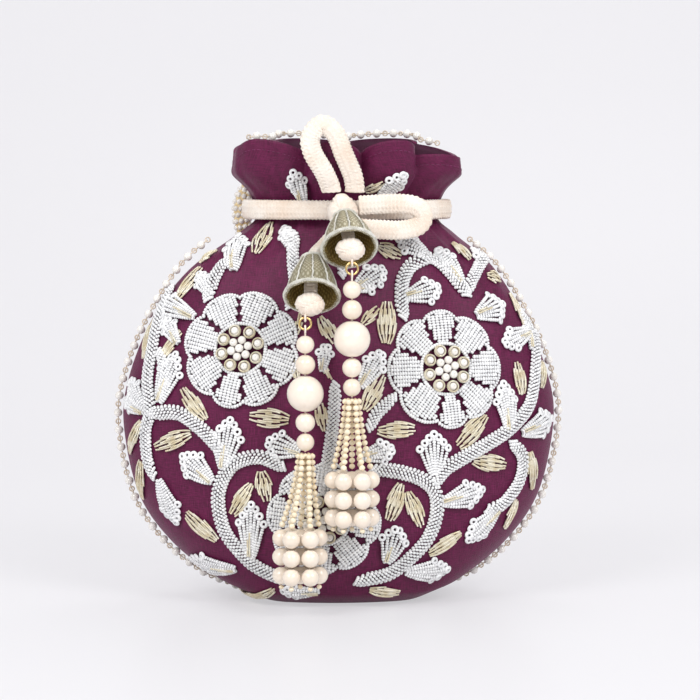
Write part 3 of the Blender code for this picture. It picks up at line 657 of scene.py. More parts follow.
def section_at(t):
    """The section at a place along the list, blended smoothly from its neighbours."""
    low = min(int(t), LAST - 1)
    t -= low
    b, c = Vector(SECTIONS[low]), Vector(SECTIONS[low + 1])
    if low < FLAT_SECTIONS:
        return b.lerp(c, t)
    a = Vector(SECTIONS[low - 1])
    d = Vector(SECTIONS[low + 2]) if low + 2 <= LAST else c * 2 - b
    return curved(a, b, c, d, t)


# %% [markdown]
# The frame's own surface is smooth. On the silk, the frill's folds are deeper, each gather has its own
# strength, the hem is a slight step where it is turned in, and the front's left lobe has the short seam
# that the photograph shows. The frill's edge is rounded off at the two seams and dips between its lobes,
# so there it lies up to a centimetre lower than the frame.

# %% A point of the silk
def silk_point(angle, t, side):
    """angle runs from the right seam over the panel to the left seam; side is -1 for the front."""
    width, seam_z, depth, middle_z = section_at(t)
    across, forward = math.cos(angle), math.sin(angle)
    edge = max(0.0, (abs(across) - FLAT_SHARE) / (1 - FLAT_SHARE)) ** 2
    z = middle_z + (seam_z - middle_z) * edge
    valleys, drops, degrees = VALLEYS[side], LOBE_DROPS[side], math.degrees(angle)
    lobe = next(i for i in range(len(drops)) if degrees <= valleys[i + 1] + 1e-6)
    share = min(1.0, max(0.0, (degrees - valleys[lobe]) / (valleys[lobe + 1] - valleys[lobe])))
    crest = math.sin(math.pi * share) ** 0.8
    frill = ramp(z, NECK_HEIGHT - 0.2 * FRILL_HEIGHT, FRILL_TOP)
    gather = ramp(z, 0.55 * NECK_HEIGHT, 0.9 * NECK_HEIGHT) * (1 - 0.6 * frill)
    near_neck = ramp(z, 0.80 * NECK_HEIGHT, NECK_HEIGHT) * (1 - 0.8 * frill)
    away = math.sin(angle) ** 0.7 if forward > 1e-9 else 0.0
    own = 1 + 0.5 * math.sin(3.1 * angle + side)
    fold = FRILL_FOLD * frill * (2 * crest - 1) + GATHER * gather * own * math.cos(2 * GATHER_COUNT * angle)
    fold += 0.35 * MM * near_neck * math.cos(37 * angle + 1.3 * side)
    fold += 0.5 * MM * frill * math.sin(5 * math.pi * share) * (1 - share)
    if side < 0:
        seam = 134 - 15 * ramp(z, FRILL_TOP, NECK_HEIGHT)
        fold -= 0.9 * MM * frill * math.exp(-((degrees - seam) / 1.5) ** 2)
    top = ramp(z, FRILL_TOP - 0.6 * FRILL_HEIGHT, FRILL_TOP)
    at_seam = (lobe == 0 and share < 0.5) or (lobe == len(drops) - 1 and share > 0.5)
    rounded = 1.0 if at_seam else max(0.0, math.sin(math.pi * share)) ** 0.5
    corner = max(0.0, (abs(across) - CORNER_FROM) / (1 - CORNER_FROM)) ** 2.2
    drop = top * ((drops[lobe] * rounded + VALLEY_DROP[side] * (1 - rounded)) * (1 - corner)
                  + SEAM_DROPS[across < 0] * corner)
    hem = 0.35 * MM * ramp(z, FRILL_TOP - HEM - 0.6 * MM, FRILL_TOP - HEM + 0.3 * MM)
    body = ramp(z, 0.05 * NECK_HEIGHT, 0.2 * NECK_HEIGHT)
    dent = 0.35 * MM * body * noise.noise(Vector((across * 7, z * 70, side * 3.0)))
    z -= drop
    lean = NECK_SHIFT * ramp(z, 0.75 * NECK_HEIGHT, NECK_HEIGHT)
    fold = (fold + dent + hem) * away
    return Vector((lean + (width + fold) * across,
                   SEAM_Y + side * (SEAM_GAP + max(0.0, depth - SEAM_GAP + fold) * forward), z))


# %% Silk panels
def silk_panel(name, side, columns, rows):
    """An outer surface and a lining half as fine, joined round their edges, with a UV map in metres."""
    def level(j):
        return FLAT_SECTIONS * j / 10 if j <= 10 else (
            FLAT_SECTIONS + (LAST - FLAT_SECTIONS) * (j - 10) / (rows - 10))

    outer = [[silk_point(math.pi * i / columns, level(j), side) for j in range(rows + 1)]
             for i in range(columns + 1)]
    vertices = [p for column in outer for p in column]
    inner_columns, inner_rows = list(range(0, columns + 1, 2)), list(range(0, rows + 1, 2))
    start = len(vertices)
    for i in inner_columns:
        for j in inner_rows:
            along = outer[min(i + 1, columns)][j] - outer[max(i - 1, 0)][j]
            up = outer[i][min(j + 1, rows)] - outer[i][max(j - 1, 0)]
            place = outer[i][j] + up.cross(along).normalized() * side * WALL
            if i in (0, columns) or j == 0:
                place.y = SEAM_Y + side * SEAM_GAP
            if j == rows:
                place.z = outer[i][j].z
            vertices.append(place)
    high, low = rows + 1, len(inner_rows)
    faces = [(i * high + j, (i + 1) * high + j, (i + 1) * high + j + 1, i * high + j + 1)
             for i in range(columns) for j in range(rows)]
    outer_count = len(faces)
    for i in range(len(inner_columns) - 1):
        for j in range(low - 1):
            a = start + i * low + j
            faces.append((a, a + 1, a + low + 1, a + low))
    fine = ([i * high for i in range(columns + 1)] + [columns * high + j for j in range(1, high)]
            + [i * high + rows for i in range(columns - 1, -1, -1)] + list(range(rows - 1, 0, -1)))
    coarse = ([start + i * low for i in range(len(inner_columns))]
              + [start + (len(inner_columns) - 1) * low + j for j in range(1, low)]
              + [start + i * low + low - 1 for i in range(len(inner_columns) - 2, -1, -1)]
              + [start + j for j in range(low - 2, 0, -1)])
    for k, one in enumerate(coarse):
        a, b, c = fine[2 * k], fine[2 * k + 1], fine[(2 * k + 2) % len(fine)]
        two = coarse[(k + 1) % len(coarse)]
        faces += [(a, b, one), (b, two, one), (b, c, two)]
    made = piece(f"{name}_silk", vertices, faces, SILK)
    made.data.materials.append(LINING)
    for polygon in made.data.polygons:
        if outer_count <= polygon.index < outer_count + (len(inner_columns) - 1) * (low - 1):
            polygon.material_index = 1
    middle = columns // 2
    v = [0.0]
    for j in range(rows):
        v.append(v[-1] + (outer[middle][j + 1] - outer[middle][j]).length)
    place_of = {}
    for j in range(rows + 1):
        u = [0.0]
        for i in range(columns):
            u.append(u[-1] + (outer[i + 1][j] - outer[i][j]).length)
        for i in range(columns + 1):
            place_of[i * high + j] = (u[i] - u[middle], v[j])
    for a, i in enumerate(inner_columns):
        for b, j in enumerate(inner_rows):
            place_of[start + a * low + b] = place_of[i * high + j]
    layer = made.data.uv_layers.new(name="cloth")
    for loop in made.data.loops:
        layer.data[loop.index].uv = place_of[loop.vertex_index]
    settled(made, "bag", name, slot="maroon_silk")
    return made, BVHTree.FromPolygons(vertices[:start], faces[:outer_count])


front_silk, FRONT = silk_panel("front_panel", -1, 216, 150)
back_silk, BACK = silk_panel("back_panel", 1, 144, 110)
print("Silk faces:", len(front_silk.data.polygons), len(back_silk.data.polygons))

# %% [markdown]
# A thread of stitches holds the turned hem. The stitches are short and lie in a row just below the frill's
# edge, so they are lines of three points each that the thread tree makes round.

# %% Hem stitches
def at_height(angle, side, z):
    """The silk's point at a height, found by halving along the sections."""
    low, high = FLAT_SECTIONS + 1.0, float(LAST)
    for _ in range(18):
        middle = (low + high) / 2
        if silk_point(angle, middle, side).z < z:
            low = middle
        else:
            high = middle
    return silk_point(angle, low, side)


def hem_stitches(name, side):
    angles = [math.radians(k) for k in range(3, 178)]
    hem_line = [at_height(a, side, silk_point(a, LAST, side).z - HEM + 0.2 * MM) for a in angles]
    lines = []
    path, length = evenly(hem_line, 0.8 * MM)
    for i in range(1, len(path) - 3, 3):
        out = Vector((path[i].x - NECK_SHIFT, path[i].y - SEAM_Y, 0)).normalized()
        lines.append([path[i] - out * 0.1 * MM, path[i].lerp(path[i + 2], 0.5) + out * 0.18 * MM,
                      path[i + 2] - out * 0.1 * MM])
    settled(threads(name, lines, 0.32 * MM, HEM_THREAD, sides=5), "bag")
    print(name, len(lines), "stitches along", round(length / MM), "mm")


hem_stitches("hem_stitches_front", -1)
hem_stitches("hem_stitches_back", 1)


# %% [markdown]
# ## Laying beads on the silk
#
# The embroiderer draws the pattern on the flat silk and stitches the beads along it. Here the drawing is
# the photograph's: a flower, a stem or a leaf is named by places in the picture, each of which is found on
# the silk by the camera's ray. From there on the piece is laid out in millimetres on the cloth itself.

# %% Places on the silk
BODY_MIDDLE, RAY_START, RAY_LENGTH = 90 * MM, 20 * MM, 50 * MM


def silk_at(across, down):
    """The silk's point and normal at a place in the picture. Beside the bag it is the nearest point."""
    way = ray_through(across, down)
    hit, normal, _, _ = FRONT.ray_cast(camera.location, way)
    if hit is None:
        passing = camera.location + way * ((SEAM_Y - 10 * MM - camera.location.y) / way.y)
        hit, normal, _, _ = FRONT.find_nearest(passing)
    return hit, outwards(hit, normal)


def outwards(place, normal):
    """The normal, turned away from the bag's middle, and on the frill away from the bag's middle line."""
    middle = Vector((0, SEAM_Y, BODY_MIDDLE if place.z < 0.85 * NECK_HEIGHT else place.z))
    return normal if normal.dot(place - middle) > 0 else -normal


def laid(place, normal, lift):
    """The point a lift above the silk, straight below or above a place near it, and the normal there."""
    hit, found, _, _ = FRONT.ray_cast(place + normal * RAY_START, -normal, RAY_LENGTH)
    if hit is None:
        hit, found, _, _ = FRONT.find_nearest(place)
    found = outwards(hit, found)
    return hit + found * lift, found


def frame_on(normal):
    """Directions to the right and upwards on the cloth at a normal."""
    right = UP.cross(normal) * -1
    right = right.normalized() if right.x > 0 else (-right).normalized()
    return right, normal.cross(right) * (1 if normal.cross(right).z > 0 else -1)


# %% [markdown]
# ## Flowers
#
# Each flower is a round of petals, filled with strings of white seed beads that run side by side from the
# heart outwards, with one more string round the scalloped edge and one round the heart. The strings lie
# over a little padding, so each petal is domed. A rule places them: in every petal, columns a bead apart,
# beads a thread's pitch apart, cut off at the petal's sides and edge.

# %% Flower rule
BEAD_WIDTH, BEAD_LENGTH = 1.68 * MM, 1.22 * MM
FLOWER_EDGE, HEART_EDGE = 26.6 * MM, 11.7 * MM


def flower_beads(across, down, sides_between, radius):
    """Beads of a flower. sides_between are the angles of the notches between its petals, in degrees."""
    centre, normal = silk_at(across, down)
    right, up = frame_on(normal)
    beads = []

    def lay(angle, distance, lift, heading):
        way = right * math.cos(angle) + up * math.sin(angle)
        place, out = laid(centre + way * distance, normal, lift)
        along = right * math.cos(heading) + up * math.sin(heading)
        along = (along - out * along.dot(out)).normalized()
        beads.append((place, along, out, 1.0))

    notches = sorted(a % 360 for a in sides_between)
    for k, first in enumerate(notches):
        last = notches[(k + 1) % len(notches)] + (360 if k + 1 == len(notches) else 0)
        middle, half = math.radians((first + last) / 2), math.radians((last - first) / 2)
        columns = int(radius * math.sin(half) / BEAD_WIDTH) + 1
        for column in range(-columns, columns + 1):
            offset = column * BEAD_WIDTH
            step = 0
            while True:
                reach = HEART_EDGE + 0.9 * MM + step * BEAD_LENGTH
                step += 1
                distance, turn = math.hypot(reach, offset), math.atan2(offset, reach)
                if reach > radius:
                    break
                share = abs(turn) / half
                edge = radius * (1 - 0.10 * share ** 2.4)
                if distance > edge - 1.5 * MM or (half - abs(turn)) * distance < 0.62 * BEAD_WIDTH:
                    continue
                rise = math.sqrt(max(0.0, 1 - share ** 2)) * math.sin(
                    math.pi * min(1.0, max(0.0, (distance - HEART_EDGE) / (edge - HEART_EDGE)))) ** 0.6
                lay(middle + turn, distance, 1.25 * MM + 1.15 * MM * rise, middle)
        turn = -half
        while turn < half:
            edge = radius * (1 - 0.10 * abs(turn / half) ** 2.4)
            lay(middle + turn, edge - 0.55 * MM, 1.15 * MM, middle + turn + math.pi / 2)
            turn += BEAD_LENGTH / edge
    count = round(math.tau * HEART_EDGE / BEAD_LENGTH)
    for i in range(count):
        angle = math.tau * i / count
        lay(angle, HEART_EDGE - 0.3 * MM, 1.7 * MM, angle + math.pi / 2)
    return beads


FLOWERS = {
    "left": (240.8, 349.3, (94, 141, 189, 240, 276, 318, 5, 48)),
    "right": (445.2, 369.1, (74, 112, 155, 205, 258, 293, 336, 25)),
    "lower": (324.0, 519.0, (60, 105, 150, 196, 240, 285, 330, 15)),
}
for place, (across, down, notches) in FLOWERS.items():
    beads = flower_beads(across, down, notches, FLOWER_EDGE - (1.2 * MM if place == "lower" else 0.0))
    made = grown(f"flower_{place}_beads", BEADS, beads, Bead=SEED, Width=BEAD_WIDTH * 1.14, Length=BEAD_LENGTH * 1.1,
                 Uneven=0.07, Seed=len(place), Finish=WHITE_SEEDS)
    settled(made, "bag", "flower_" + place, slot="seed_beads")
    print(made.name, len(beads), "beads")

# %% [markdown]
# ## Flower hearts
#
# Seven small pearls fill the middle, and eight more stand round them, each in a coil of gold wire. The
# wire is two rings, one on the other, that the thread tree makes.

# %% Hearts
HEART_PEARL, RING_PEARL = 3.9 * MM, 3.7 * MM


def flower_heart(name, across, down, turn):
    centre, normal = silk_at(across, down)
    right, up = frame_on(normal)
    pearls, wires = [], []
    rows = [(0.0, 0.0, HEART_PEARL, 2.9 * MM)]
    rows += [(3.85 * MM, math.tau * i / 6 + turn, HEART_PEARL, 2.6 * MM) for i in range(6)]
    rows += [(8.3 * MM, math.tau * i / 8 + turn, RING_PEARL, 2.4 * MM) for i in range(8)]
    for distance, angle, size, lift in rows:
        way = right * math.cos(angle) + up * math.sin(angle)
        place, out = laid(centre + way * distance, normal, lift)
        pearls.append((place, out, way, size))
        if distance < 5 * MM:
            continue
        across_way = out.cross(way).normalized()
        for coil, (radius, height) in enumerate(((2.35, -0.9), (2.55, 0.1), (2.3, 0.95))):
            wires.append(circle(place + out * height * MM, radius * MM, way, across_way, 18, coil))
    made = grown(name + "_pearls", BEADS, pearls, Bead=SMALL_PEARL, Width=1.0, Length=0.97, Uneven=0.03,
                 Seed=7, Finish=LACE_PEARLS)
    settled(made, "bag", name, slot="pearl")
    settled(threads(name + "_wire", wires, 0.62 * MM, BULLION, sides=5), "bag")


for place, (across, down, _) in FLOWERS.items():
    flower_heart("flower_heart_" + place, across, down, 0.3)
print("Hearts:", len(FLOWERS))

# %% [markdown]
# ## Rope stems
#
# Between the flowers run thick stems. Each is worked like a rope: short strings of beads laid aslant over
# a padded cord, one beside the next, so that the edge is notched like twisted rope. The rule walks along
# the stem and lays one slanted string over a half round at each step.

# %% Rope rule
ROPE_HALF_WIDTH, ROPE_RISE, ROPE_SLANT = 3.05 * MM, 1.55 * MM, math.radians(38)
STRING_BEADS = 7


def stem_line(pixels):
    """The stem's points on the silk."""
    path = smooth_path([(across, down, 0) for across, down in pixels], 3.0)
    line = [silk_at(p.x, p.y)[0] for p in path]
    return evenly(line, 1.8 * MM)[0]


def rope_beads(pixels, slim=1.0, slant=1):
    path = stem_line(pixels)
    beads = []
    for i, place in enumerate(path):
        foot, out = laid(place, silk_normal(place), 0.0)
        way = way_along(path, i)
        side = out.cross(way).normalized()
        way = side.cross(out).normalized()
        end = min(i, len(path) - 1 - i)
        narrow = slim * min(1.0, 0.55 + 0.2 * end)
        across = (side * math.cos(ROPE_SLANT) + way * slant * math.sin(ROPE_SLANT)).normalized()
        for k in range(STRING_BEADS):
            angle = math.radians(-78 + 156 * k / (STRING_BEADS - 1))
            spot, found = laid(foot + across * math.sin(angle) * ROPE_HALF_WIDTH * narrow * 1.15, out,
                               0.75 * MM + ROPE_RISE * narrow * math.cos(angle))
            along = (across * math.cos(angle) * ROPE_HALF_WIDTH - found * math.sin(angle) * ROPE_RISE).normalized()
            beads.append((spot, along, found, 0.95))
    return beads


def silk_normal(place):
    hit, normal, _, _ = FRONT.find_nearest(place)
    return outwards(hit, normal)


STEMS = {
    "left_outer": [[(172, 290), (160, 320), (154, 347), (149, 380), (151, 411), (147, 431), (149, 458), (156, 476)],
                   [(160, 352), (166, 372), (162, 398)]],
    "left_inner": [[(151, 414), (178, 413), (201, 428), (220, 448), (229, 460)]],
    "left_curl": [[(284, 466), (259, 457), (236, 463), (223, 480), (219, 502), (225, 529), (239, 549), (253, 563),
                   (271, 573), (289, 579)]],
    "left_shoulder": [[(209, 300), (213, 284), (222, 268), (233, 258)],
                      [(294, 236), (293, 256), (295, 284), (290, 308)]],
    "right_shoulder": [[(402, 318), (401, 300), (403, 280), (414, 264), (432, 260), (452, 276), (466, 296)],
                       [(466, 292), (474, 274), (484, 256)]],
    "right_outer": [[(527, 308), (533, 333), (534, 360), (532, 387), (526, 408), (509, 428), (489, 442), (465, 456),
                     (446, 468), (434, 482)]],
    "right_lower": [[(512, 441), (521, 458), (517, 482), (501, 503), (486, 508)]],
    "right_curl": [[(373, 468), (400, 472), (421, 479), (434, 492), (436, 512), (428, 536), (411, 556), (388, 573),
                    (356, 580)],
                   [(395, 397), (378, 412), (368, 428)], [(336, 384), (334, 410), (331, 440), (326, 470), (322, 492)],
                   [(344, 262), (341, 276)]],
}
for place, lines in STEMS.items():
    beads = [bead for k, pixels in enumerate(lines) for bead in rope_beads(
        pixels, 0.85 if k else 1.0, -1 if "left" in place else 1)]
    made = grown(f"vine_{place}_beads", BEADS, beads, Bead=SEED, Width=BEAD_WIDTH, Length=BEAD_LENGTH * 1.05,
                 Uneven=0.08, Seed=11, Finish=WHITE_SEEDS)
    settled(made, "bag", "vine_" + place, slot="seed_beads")
print("Stems:", len(STEMS))

# %% [markdown]
# ## White leaves
#
# A white leaf is a fan of bead strings that part from one foot, each ending in a ring sequin stitched
# flat, with a length of gold bullion for a midrib. A leaf is named by its foot, its tip, half its width
# and the number of its strings.

# %% Leaf rule
WHITE_LEAVES = [
    (234, 272, 236, 232, 15, 7), (212, 297, 200, 275, 10, 5), (197, 318, 163, 303, 13, 6), (160, 404, 177, 355, 15, 7),
    (180, 344, 166, 320, 10, 5), (146, 408, 128, 380, 11, 6), (146, 412, 122, 400, 9, 5), (223, 470, 231, 420, 16, 7),
    (214, 482, 184, 456, 15, 7), (160, 478, 178, 521, 13, 7), (252, 558, 252, 504, 15, 7), (238, 568, 193, 557, 13, 7),
    (320, 590, 284, 590, 8, 5), (293, 254, 285, 229, 8, 5), (353, 292, 383, 270, 13, 6), (354, 291, 375, 290, 5, 2),
    (360, 388, 381, 353, 12, 6), (431, 262, 399, 238, 11, 6), (463, 284, 437, 250, 10, 6), (404, 298, 438, 289, 14, 6),
    (475, 316, 501, 305, 17, 7), (484, 262, 478, 244, 8, 5), (527, 332, 503, 344, 12, 6), (508, 432, 502, 384, 13, 7),
    (520, 433, 549, 418, 15, 7), (434, 476, 433, 434, 17, 7), (440, 503, 481, 489, 14, 7), (498, 507, 467, 539, 13, 7),
    (386, 563, 397, 528, 15, 6), (404, 571, 446, 568, 13, 7), (301, 452, 268, 442, 15, 6), (361, 457, 392, 449, 12, 6),
    (304, 204, 293, 172, 9, 5), (376, 201, 404, 173, 10, 6), (322, 372, 326, 346, 8, 4), (530, 350, 531, 318, 8, 5),
]
LEAF_BEAD, LEAF_PITCH, LEAF_RING = 1.75 * MM, 1.22 * MM, 3.9 * MM


def leaf_frame(foot, tip, half_width):
    """The leaf's foot on the silk, its way, its side, the normal, its length and half its width."""
    start, normal = silk_at(*foot)
    end, end_normal = silk_at(*tip)
    out = (normal + end_normal).normalized()
    way = end - start
    return start, way.normalized(), out.cross(way).normalized(), out, way.length, half_width * 0.45 * MM


leaf_beads, leaf_rings, midribs = [], [], []
for number, (x0, y0, x1, y1, half_width, strings) in enumerate(WHITE_LEAVES):
    start, way, side, out, length, width = leaf_frame((x0, y0), (x1, y1), half_width)
    for k in range(strings):
        share = -1 + 2 * (k + 0.5) / strings
        reach = length * (1.0 - 0.42 * abs(share) ** 1.3)
        samples = []
        for j in range(13):
            u = j / 12
            offset = width * share * (0.22 + 0.78 * u ** 0.75)
            samples.append(start + way * reach * (0.06 + 0.94 * u) + side * offset)
        path, _ = evenly(samples, LEAF_PITCH)
        for i, place in enumerate(path[:-1]):
            lift = 1.0 * MM + 0.55 * MM * math.sin(math.pi * i / len(path)) + 0.25 * MM * (k % 2)
            spot, found = laid(place, out, lift)
            leaf_beads.append((spot, way_along(path, i), found, 1.0))
        spot, found = laid(path[-1], out, 1.1 * MM + 0.4 * MM * (k % 2))
        tilt = (found + side * 0.35 * share + way * 0.25).normalized()
        leaf_rings.append((spot, tilt, way, 1.0))
    rib = [laid(start + way * length * u + side * 0.3 * MM, out, 2.5 * MM)[0] for u in (0.06, 0.2, 0.36, 0.5)]
    if number % 4 != 1:
        midribs.append(rib)
        midribs.append([p + side * 1.0 * MM - out * 0.3 * MM for p in rib[:3]])
white_leaves = grown("white_leaf_beads", BEADS, leaf_beads, Bead=SEED, Width=LEAF_BEAD, Length=LEAF_PITCH * 1.05,
                     Uneven=0.07, Seed=19, Finish=WHITE_SEEDS)
leaf_sequins = grown("leaf_ring_sequins", BEADS, leaf_rings, Bead=RING_SEQUIN, Width=LEAF_RING, Length=1.5 * MM,
                     Uneven=0.06, Seed=23, Finish=WHITE_SEEDS)
for made in (white_leaves, leaf_sequins):
    settled(made, "bag", slot="seed_beads")
print(len(WHITE_LEAVES), "white leaves with", len(leaf_beads), "beads and", len(leaf_rings), "rings")

# %% [markdown]
# ## Gold leaves
#
# A gold leaf is a sheaf of bullion: fine coiled wire, cut in short lengths and stitched down side by side,
# each a little aslant. The lengths are lines that bend in towards the tip; the thread tree makes them
# round, and their finish has the coil's fine rings.

# %% Sheaf rule
GOLD_LEAVES = [
    (255, 255, 272, 223, 9, 10), (200, 264, 218, 251, 7, 8), (175, 303, 202, 268, 7, 9), (144, 360, 156, 318, 5, 8),
    (159, 362, 182, 332, 6, 9), (207, 421, 183, 388, 8, 11), (193, 433, 156, 447, 9, 11), (143, 420, 126, 453, 6, 10),
    (142, 459, 141, 499, 7, 10), (291, 420, 250, 416, 10, 11), (253, 483, 232, 514, 8, 12), (261, 470, 267, 501, 9, 10),
    (219, 542, 187, 512, 9, 12), (277, 587, 238, 590, 6, 10), (377, 246, 401, 257, 9, 10), (386, 345, 387, 302, 10, 13),
    (362, 325, 378, 308, 6, 7), (297, 335, 301, 313, 4, 4), (320, 316, 335, 343, 8, 9), (298, 383, 294, 360, 4, 5),
    (321, 362, 331, 380, 3, 4), (363, 411, 383, 375, 9, 11), (376, 430, 415, 430, 9, 12), (325, 432, 320, 402, 7, 8),
    (402, 482, 388, 520, 9, 12), (407, 490, 421, 527, 8, 11), (451, 242, 470, 261, 7, 9), (486, 275, 508, 275, 8, 9),
    (508, 292, 524, 328, 6, 9), (521, 396, 516, 362, 8, 11), (540, 389, 547, 360, 6, 9), (487, 414, 457, 446, 10, 12),
    (471, 460, 505, 465, 9, 12), (529, 449, 531, 489, 7, 11), (462, 532, 428, 553, 7, 12), (516, 498, 503, 528, 6, 10),
    (368, 589, 399, 592, 6, 10), (365, 191, 384, 182, 5, 7),
]
BULLION_THICKNESS = 0.95 * MM
dice = random.Random(5)
sheaf_lines = []
for x0, y0, x1, y1, half_width, lengths in GOLD_LEAVES:
    start, way, side, out, length, width = leaf_frame((x0, y0), (x1, y1), half_width)
    for k in range(lengths):
        share = -1 + 2 * (k + 0.5) / lengths
        layer = k % 3
        begin = 0.02 + 0.20 * layer + 0.05 * dice.random()
        finish_at = min(1.0, begin + 0.56 + 0.1 * dice.random() - 0.1 * abs(share))
        line = []
        for j in range(6):
            u = begin + (finish_at - begin) * j / 5
            belly = math.sin(math.pi * (0.10 + 0.78 * u)) ** 0.8
            offset = width * share * belly + 0.5 * MM * (u - 0.5) * (1 if share > 0 else -1)
            spot, _ = laid(start + way * length * u + side * offset, out,
                           0.65 * MM + 0.45 * MM * (layer == 1) + 0.35 * MM * math.sin(math.pi * j / 5))
            line.append(spot)
        sheaf_lines.append(line)
gold_leaves = threads("gold_leaf_bullion", sheaf_lines, BULLION_THICKNESS, BULLION, sides=6)
ribs = threads("leaf_midribs", midribs, 0.8 * MM, BULLION, sides=6)
for made in (gold_leaves, ribs):
    settled(made, "bag", slot="gold_wire")
print(len(GOLD_LEAVES), "gold leaves of", len(sheaf_lines), "lengths")

# %% [markdown]
# ## Pearl lace and rim pearls
#
# A string of small pearls is sewn in the seam between the panels and along the back of the frill. The
# pearls sit on the seam's own line, a little outside it, with a loop of thread between each two.

# %% Pearl strings
LACE_PITCH, LACE_OFFSET, LACE_LOOP = 4.0 * MM, 2.45 * MM, 1.1 * MM
SEAM_TOP = 163 * MM         # where the frill's cloth covers the lace


def pearl_string(name, line, node_name):
    """A pearl and a loop of thread by turns, along a line."""
    path, length = evenly(line, LACE_PITCH)
    pearls, loops = [], [list(path)]
    for i, place in enumerate(path):
        way = way_along(path, i)
        out = Vector((way.z, 0, -way.x))
        if i % 2:
            pearls.append((place, way, out, 1.0))
        else:
            loops.append(circle(place, LACE_LOOP, way, out, 10))
    made = grown(name, BEADS, pearls, Bead=SMALL_PEARL, Width=4.0 * MM, Length=3.9 * MM, Uneven=0.03, Seed=2,
                 Finish=LACE_PEARLS)
    settled(made, "bag", node_name, slot="pearl")
    settled(threads(name + "_thread", loops, 0.7 * MM, LACE_THREAD), "bag")
    print(name, len(pearls), "pearls on", round(length / MM), "mm")


seam_side = [silk_point(0.0, t, -1) for t in [0, 1, 2, 3] + [4 + i / 3 for i in range(24)]]
seam_side = [Vector((p.x, SEAM_Y, p.z)) for p in seam_side if p.z <= SEAM_TOP]
seam = mirrored(seam_side) + seam_side
lace_line = []
for i, place in enumerate(seam):
    way = way_along(seam, i)
    lace_line.append(place + Vector((way.z, 0, -way.x)) * LACE_OFFSET)
pearl_string("seam_pearls", lace_line, "seam_pearl_lace")
rim_line = [silk_point(math.radians(a), LAST, 1) + Vector((0, -1.2, 2.3)) * MM for a in range(36, 147, 2)]
pearl_string("rim_pearl_string", rim_line, "rim_pearls")

# %% [markdown]
# ## The drawstring
#
# The cord is a flat tube of knitted cotton. Its stitches are small: columns of Vs, which are in the mesh as
# relief. Rings of points are laid along the cord's path, each an oval whose flat side looks one way.

# %% Knitted tubes
SQUARER = 0.85              # under 1, a section's corners are fuller than an oval's


def ringed(name, rings, finish, closed=False, inside=None):
    """A skin over rings of points. inside is the first ring that takes a second finish."""
    count, total = len(rings[0]), len(rings)
    vertices = [p for ring in rings for p in ring]
    faces = []
    for k in range(total if closed else total - 1):
        n = (k + 1) % total
        for i in range(count):
            j = (i + 1) % count
            faces.append((k * count + i, k * count + j, n * count + j, n * count + i))
    if not closed:
        for k in (0, total - 1):
            centre = sum(rings[k], Vector((0, 0, 0))) / count
            vertices.append(centre)
            faces += [(k * count + i, k * count + (i + 1) % count, len(vertices) - 1) for i in range(count)]
    made = piece(name, vertices, faces, finish)
    if inside is not None:
        layer = made.data.uv_layers.new(name="cloth")
        for face in made.data.polygons:
            columns = [v % count for v in face.vertices]
            for loop, v in zip(face.loop_indices, face.vertices):
                column = v % count
                if column == 0 and max(columns) == count - 1:
                    column = count
                layer.data[loop].uv = (column / count * 52 * MM, v // count * 0.9 * MM)
            if min(v // count for v in face.vertices) >= inside:
                face.material_index = 1
    return made


def knitted(name, path, width, thick, finish, facing, closed=False, sides=40, stitch=1.7 * MM, depth=0.26 * MM):
    """A knitted tube. facing is the way its flat side looks: one vector, or one for each point."""
    rings, run = [], 0.0
    for i, place in enumerate(path):
        way = way_along(path, i, closed)
        flat = facing[i] if isinstance(facing, list) else facing
        flat = (flat - way * flat.dot(way)).normalized()
        wide = way.cross(flat)
        if i:
            run += (place - path[i - 1]).length
        ring = []
        for k in range(sides):
            a = math.tau * k / sides
            u, v = (math.copysign(abs(x) ** SQUARER, x) for x in (math.cos(a), math.sin(a)))
            slope = abs((u + 1) * 2.0 % 1.0 - 0.5) * 2
            relief = depth * math.cos(math.tau * (run / stitch - 0.6 * slope)) - depth * 0.9 * (slope > 0.8)
            ring.append(place + wide * u * (width / 2 - depth + relief) + flat * v * (thick / 2 - depth + relief))
        rings.append(ring)
    return ringed(name, rings, finish, closed)


def length_of(path):
    return sum((b - a).length for a, b in zip(path, path[1:]))


def declared(made, path, stands_for):
    """Attaches the cord to the bag and prints its length."""
    settled(made, "bag", stands_for, slot="cream_cord")
    few = path[::max(1, len(path) // 60)]       # about sixty points of the course
    few = few if few[-1] == path[-1] else few + [path[-1]]
    [tuple(p) for p in few]
    print(made.name, round(length_of(path) / MM), "mm long")


# %% [markdown]
# The cord goes once round the gathered neck, flat on the silk. Its bow has a loop that stands up and one
# that lies to the right. Both loops start and end at the knot, and both are free cords, whose length is printed.

# %% Neck cord and bow
KNOT = point_at(0.0, -34.76, 177.5)
CORD_WIDTH, CORD_THICK, PATH_STEP = 9.6 * MM, 4.4 * MM, 0.42 * MM
NECK_RING, NECK_RING_HEIGHT = (46.26, 26.26), 178.456


def from_knot(x, y, z):
    return KNOT + Vector((x, y, z)) * MM


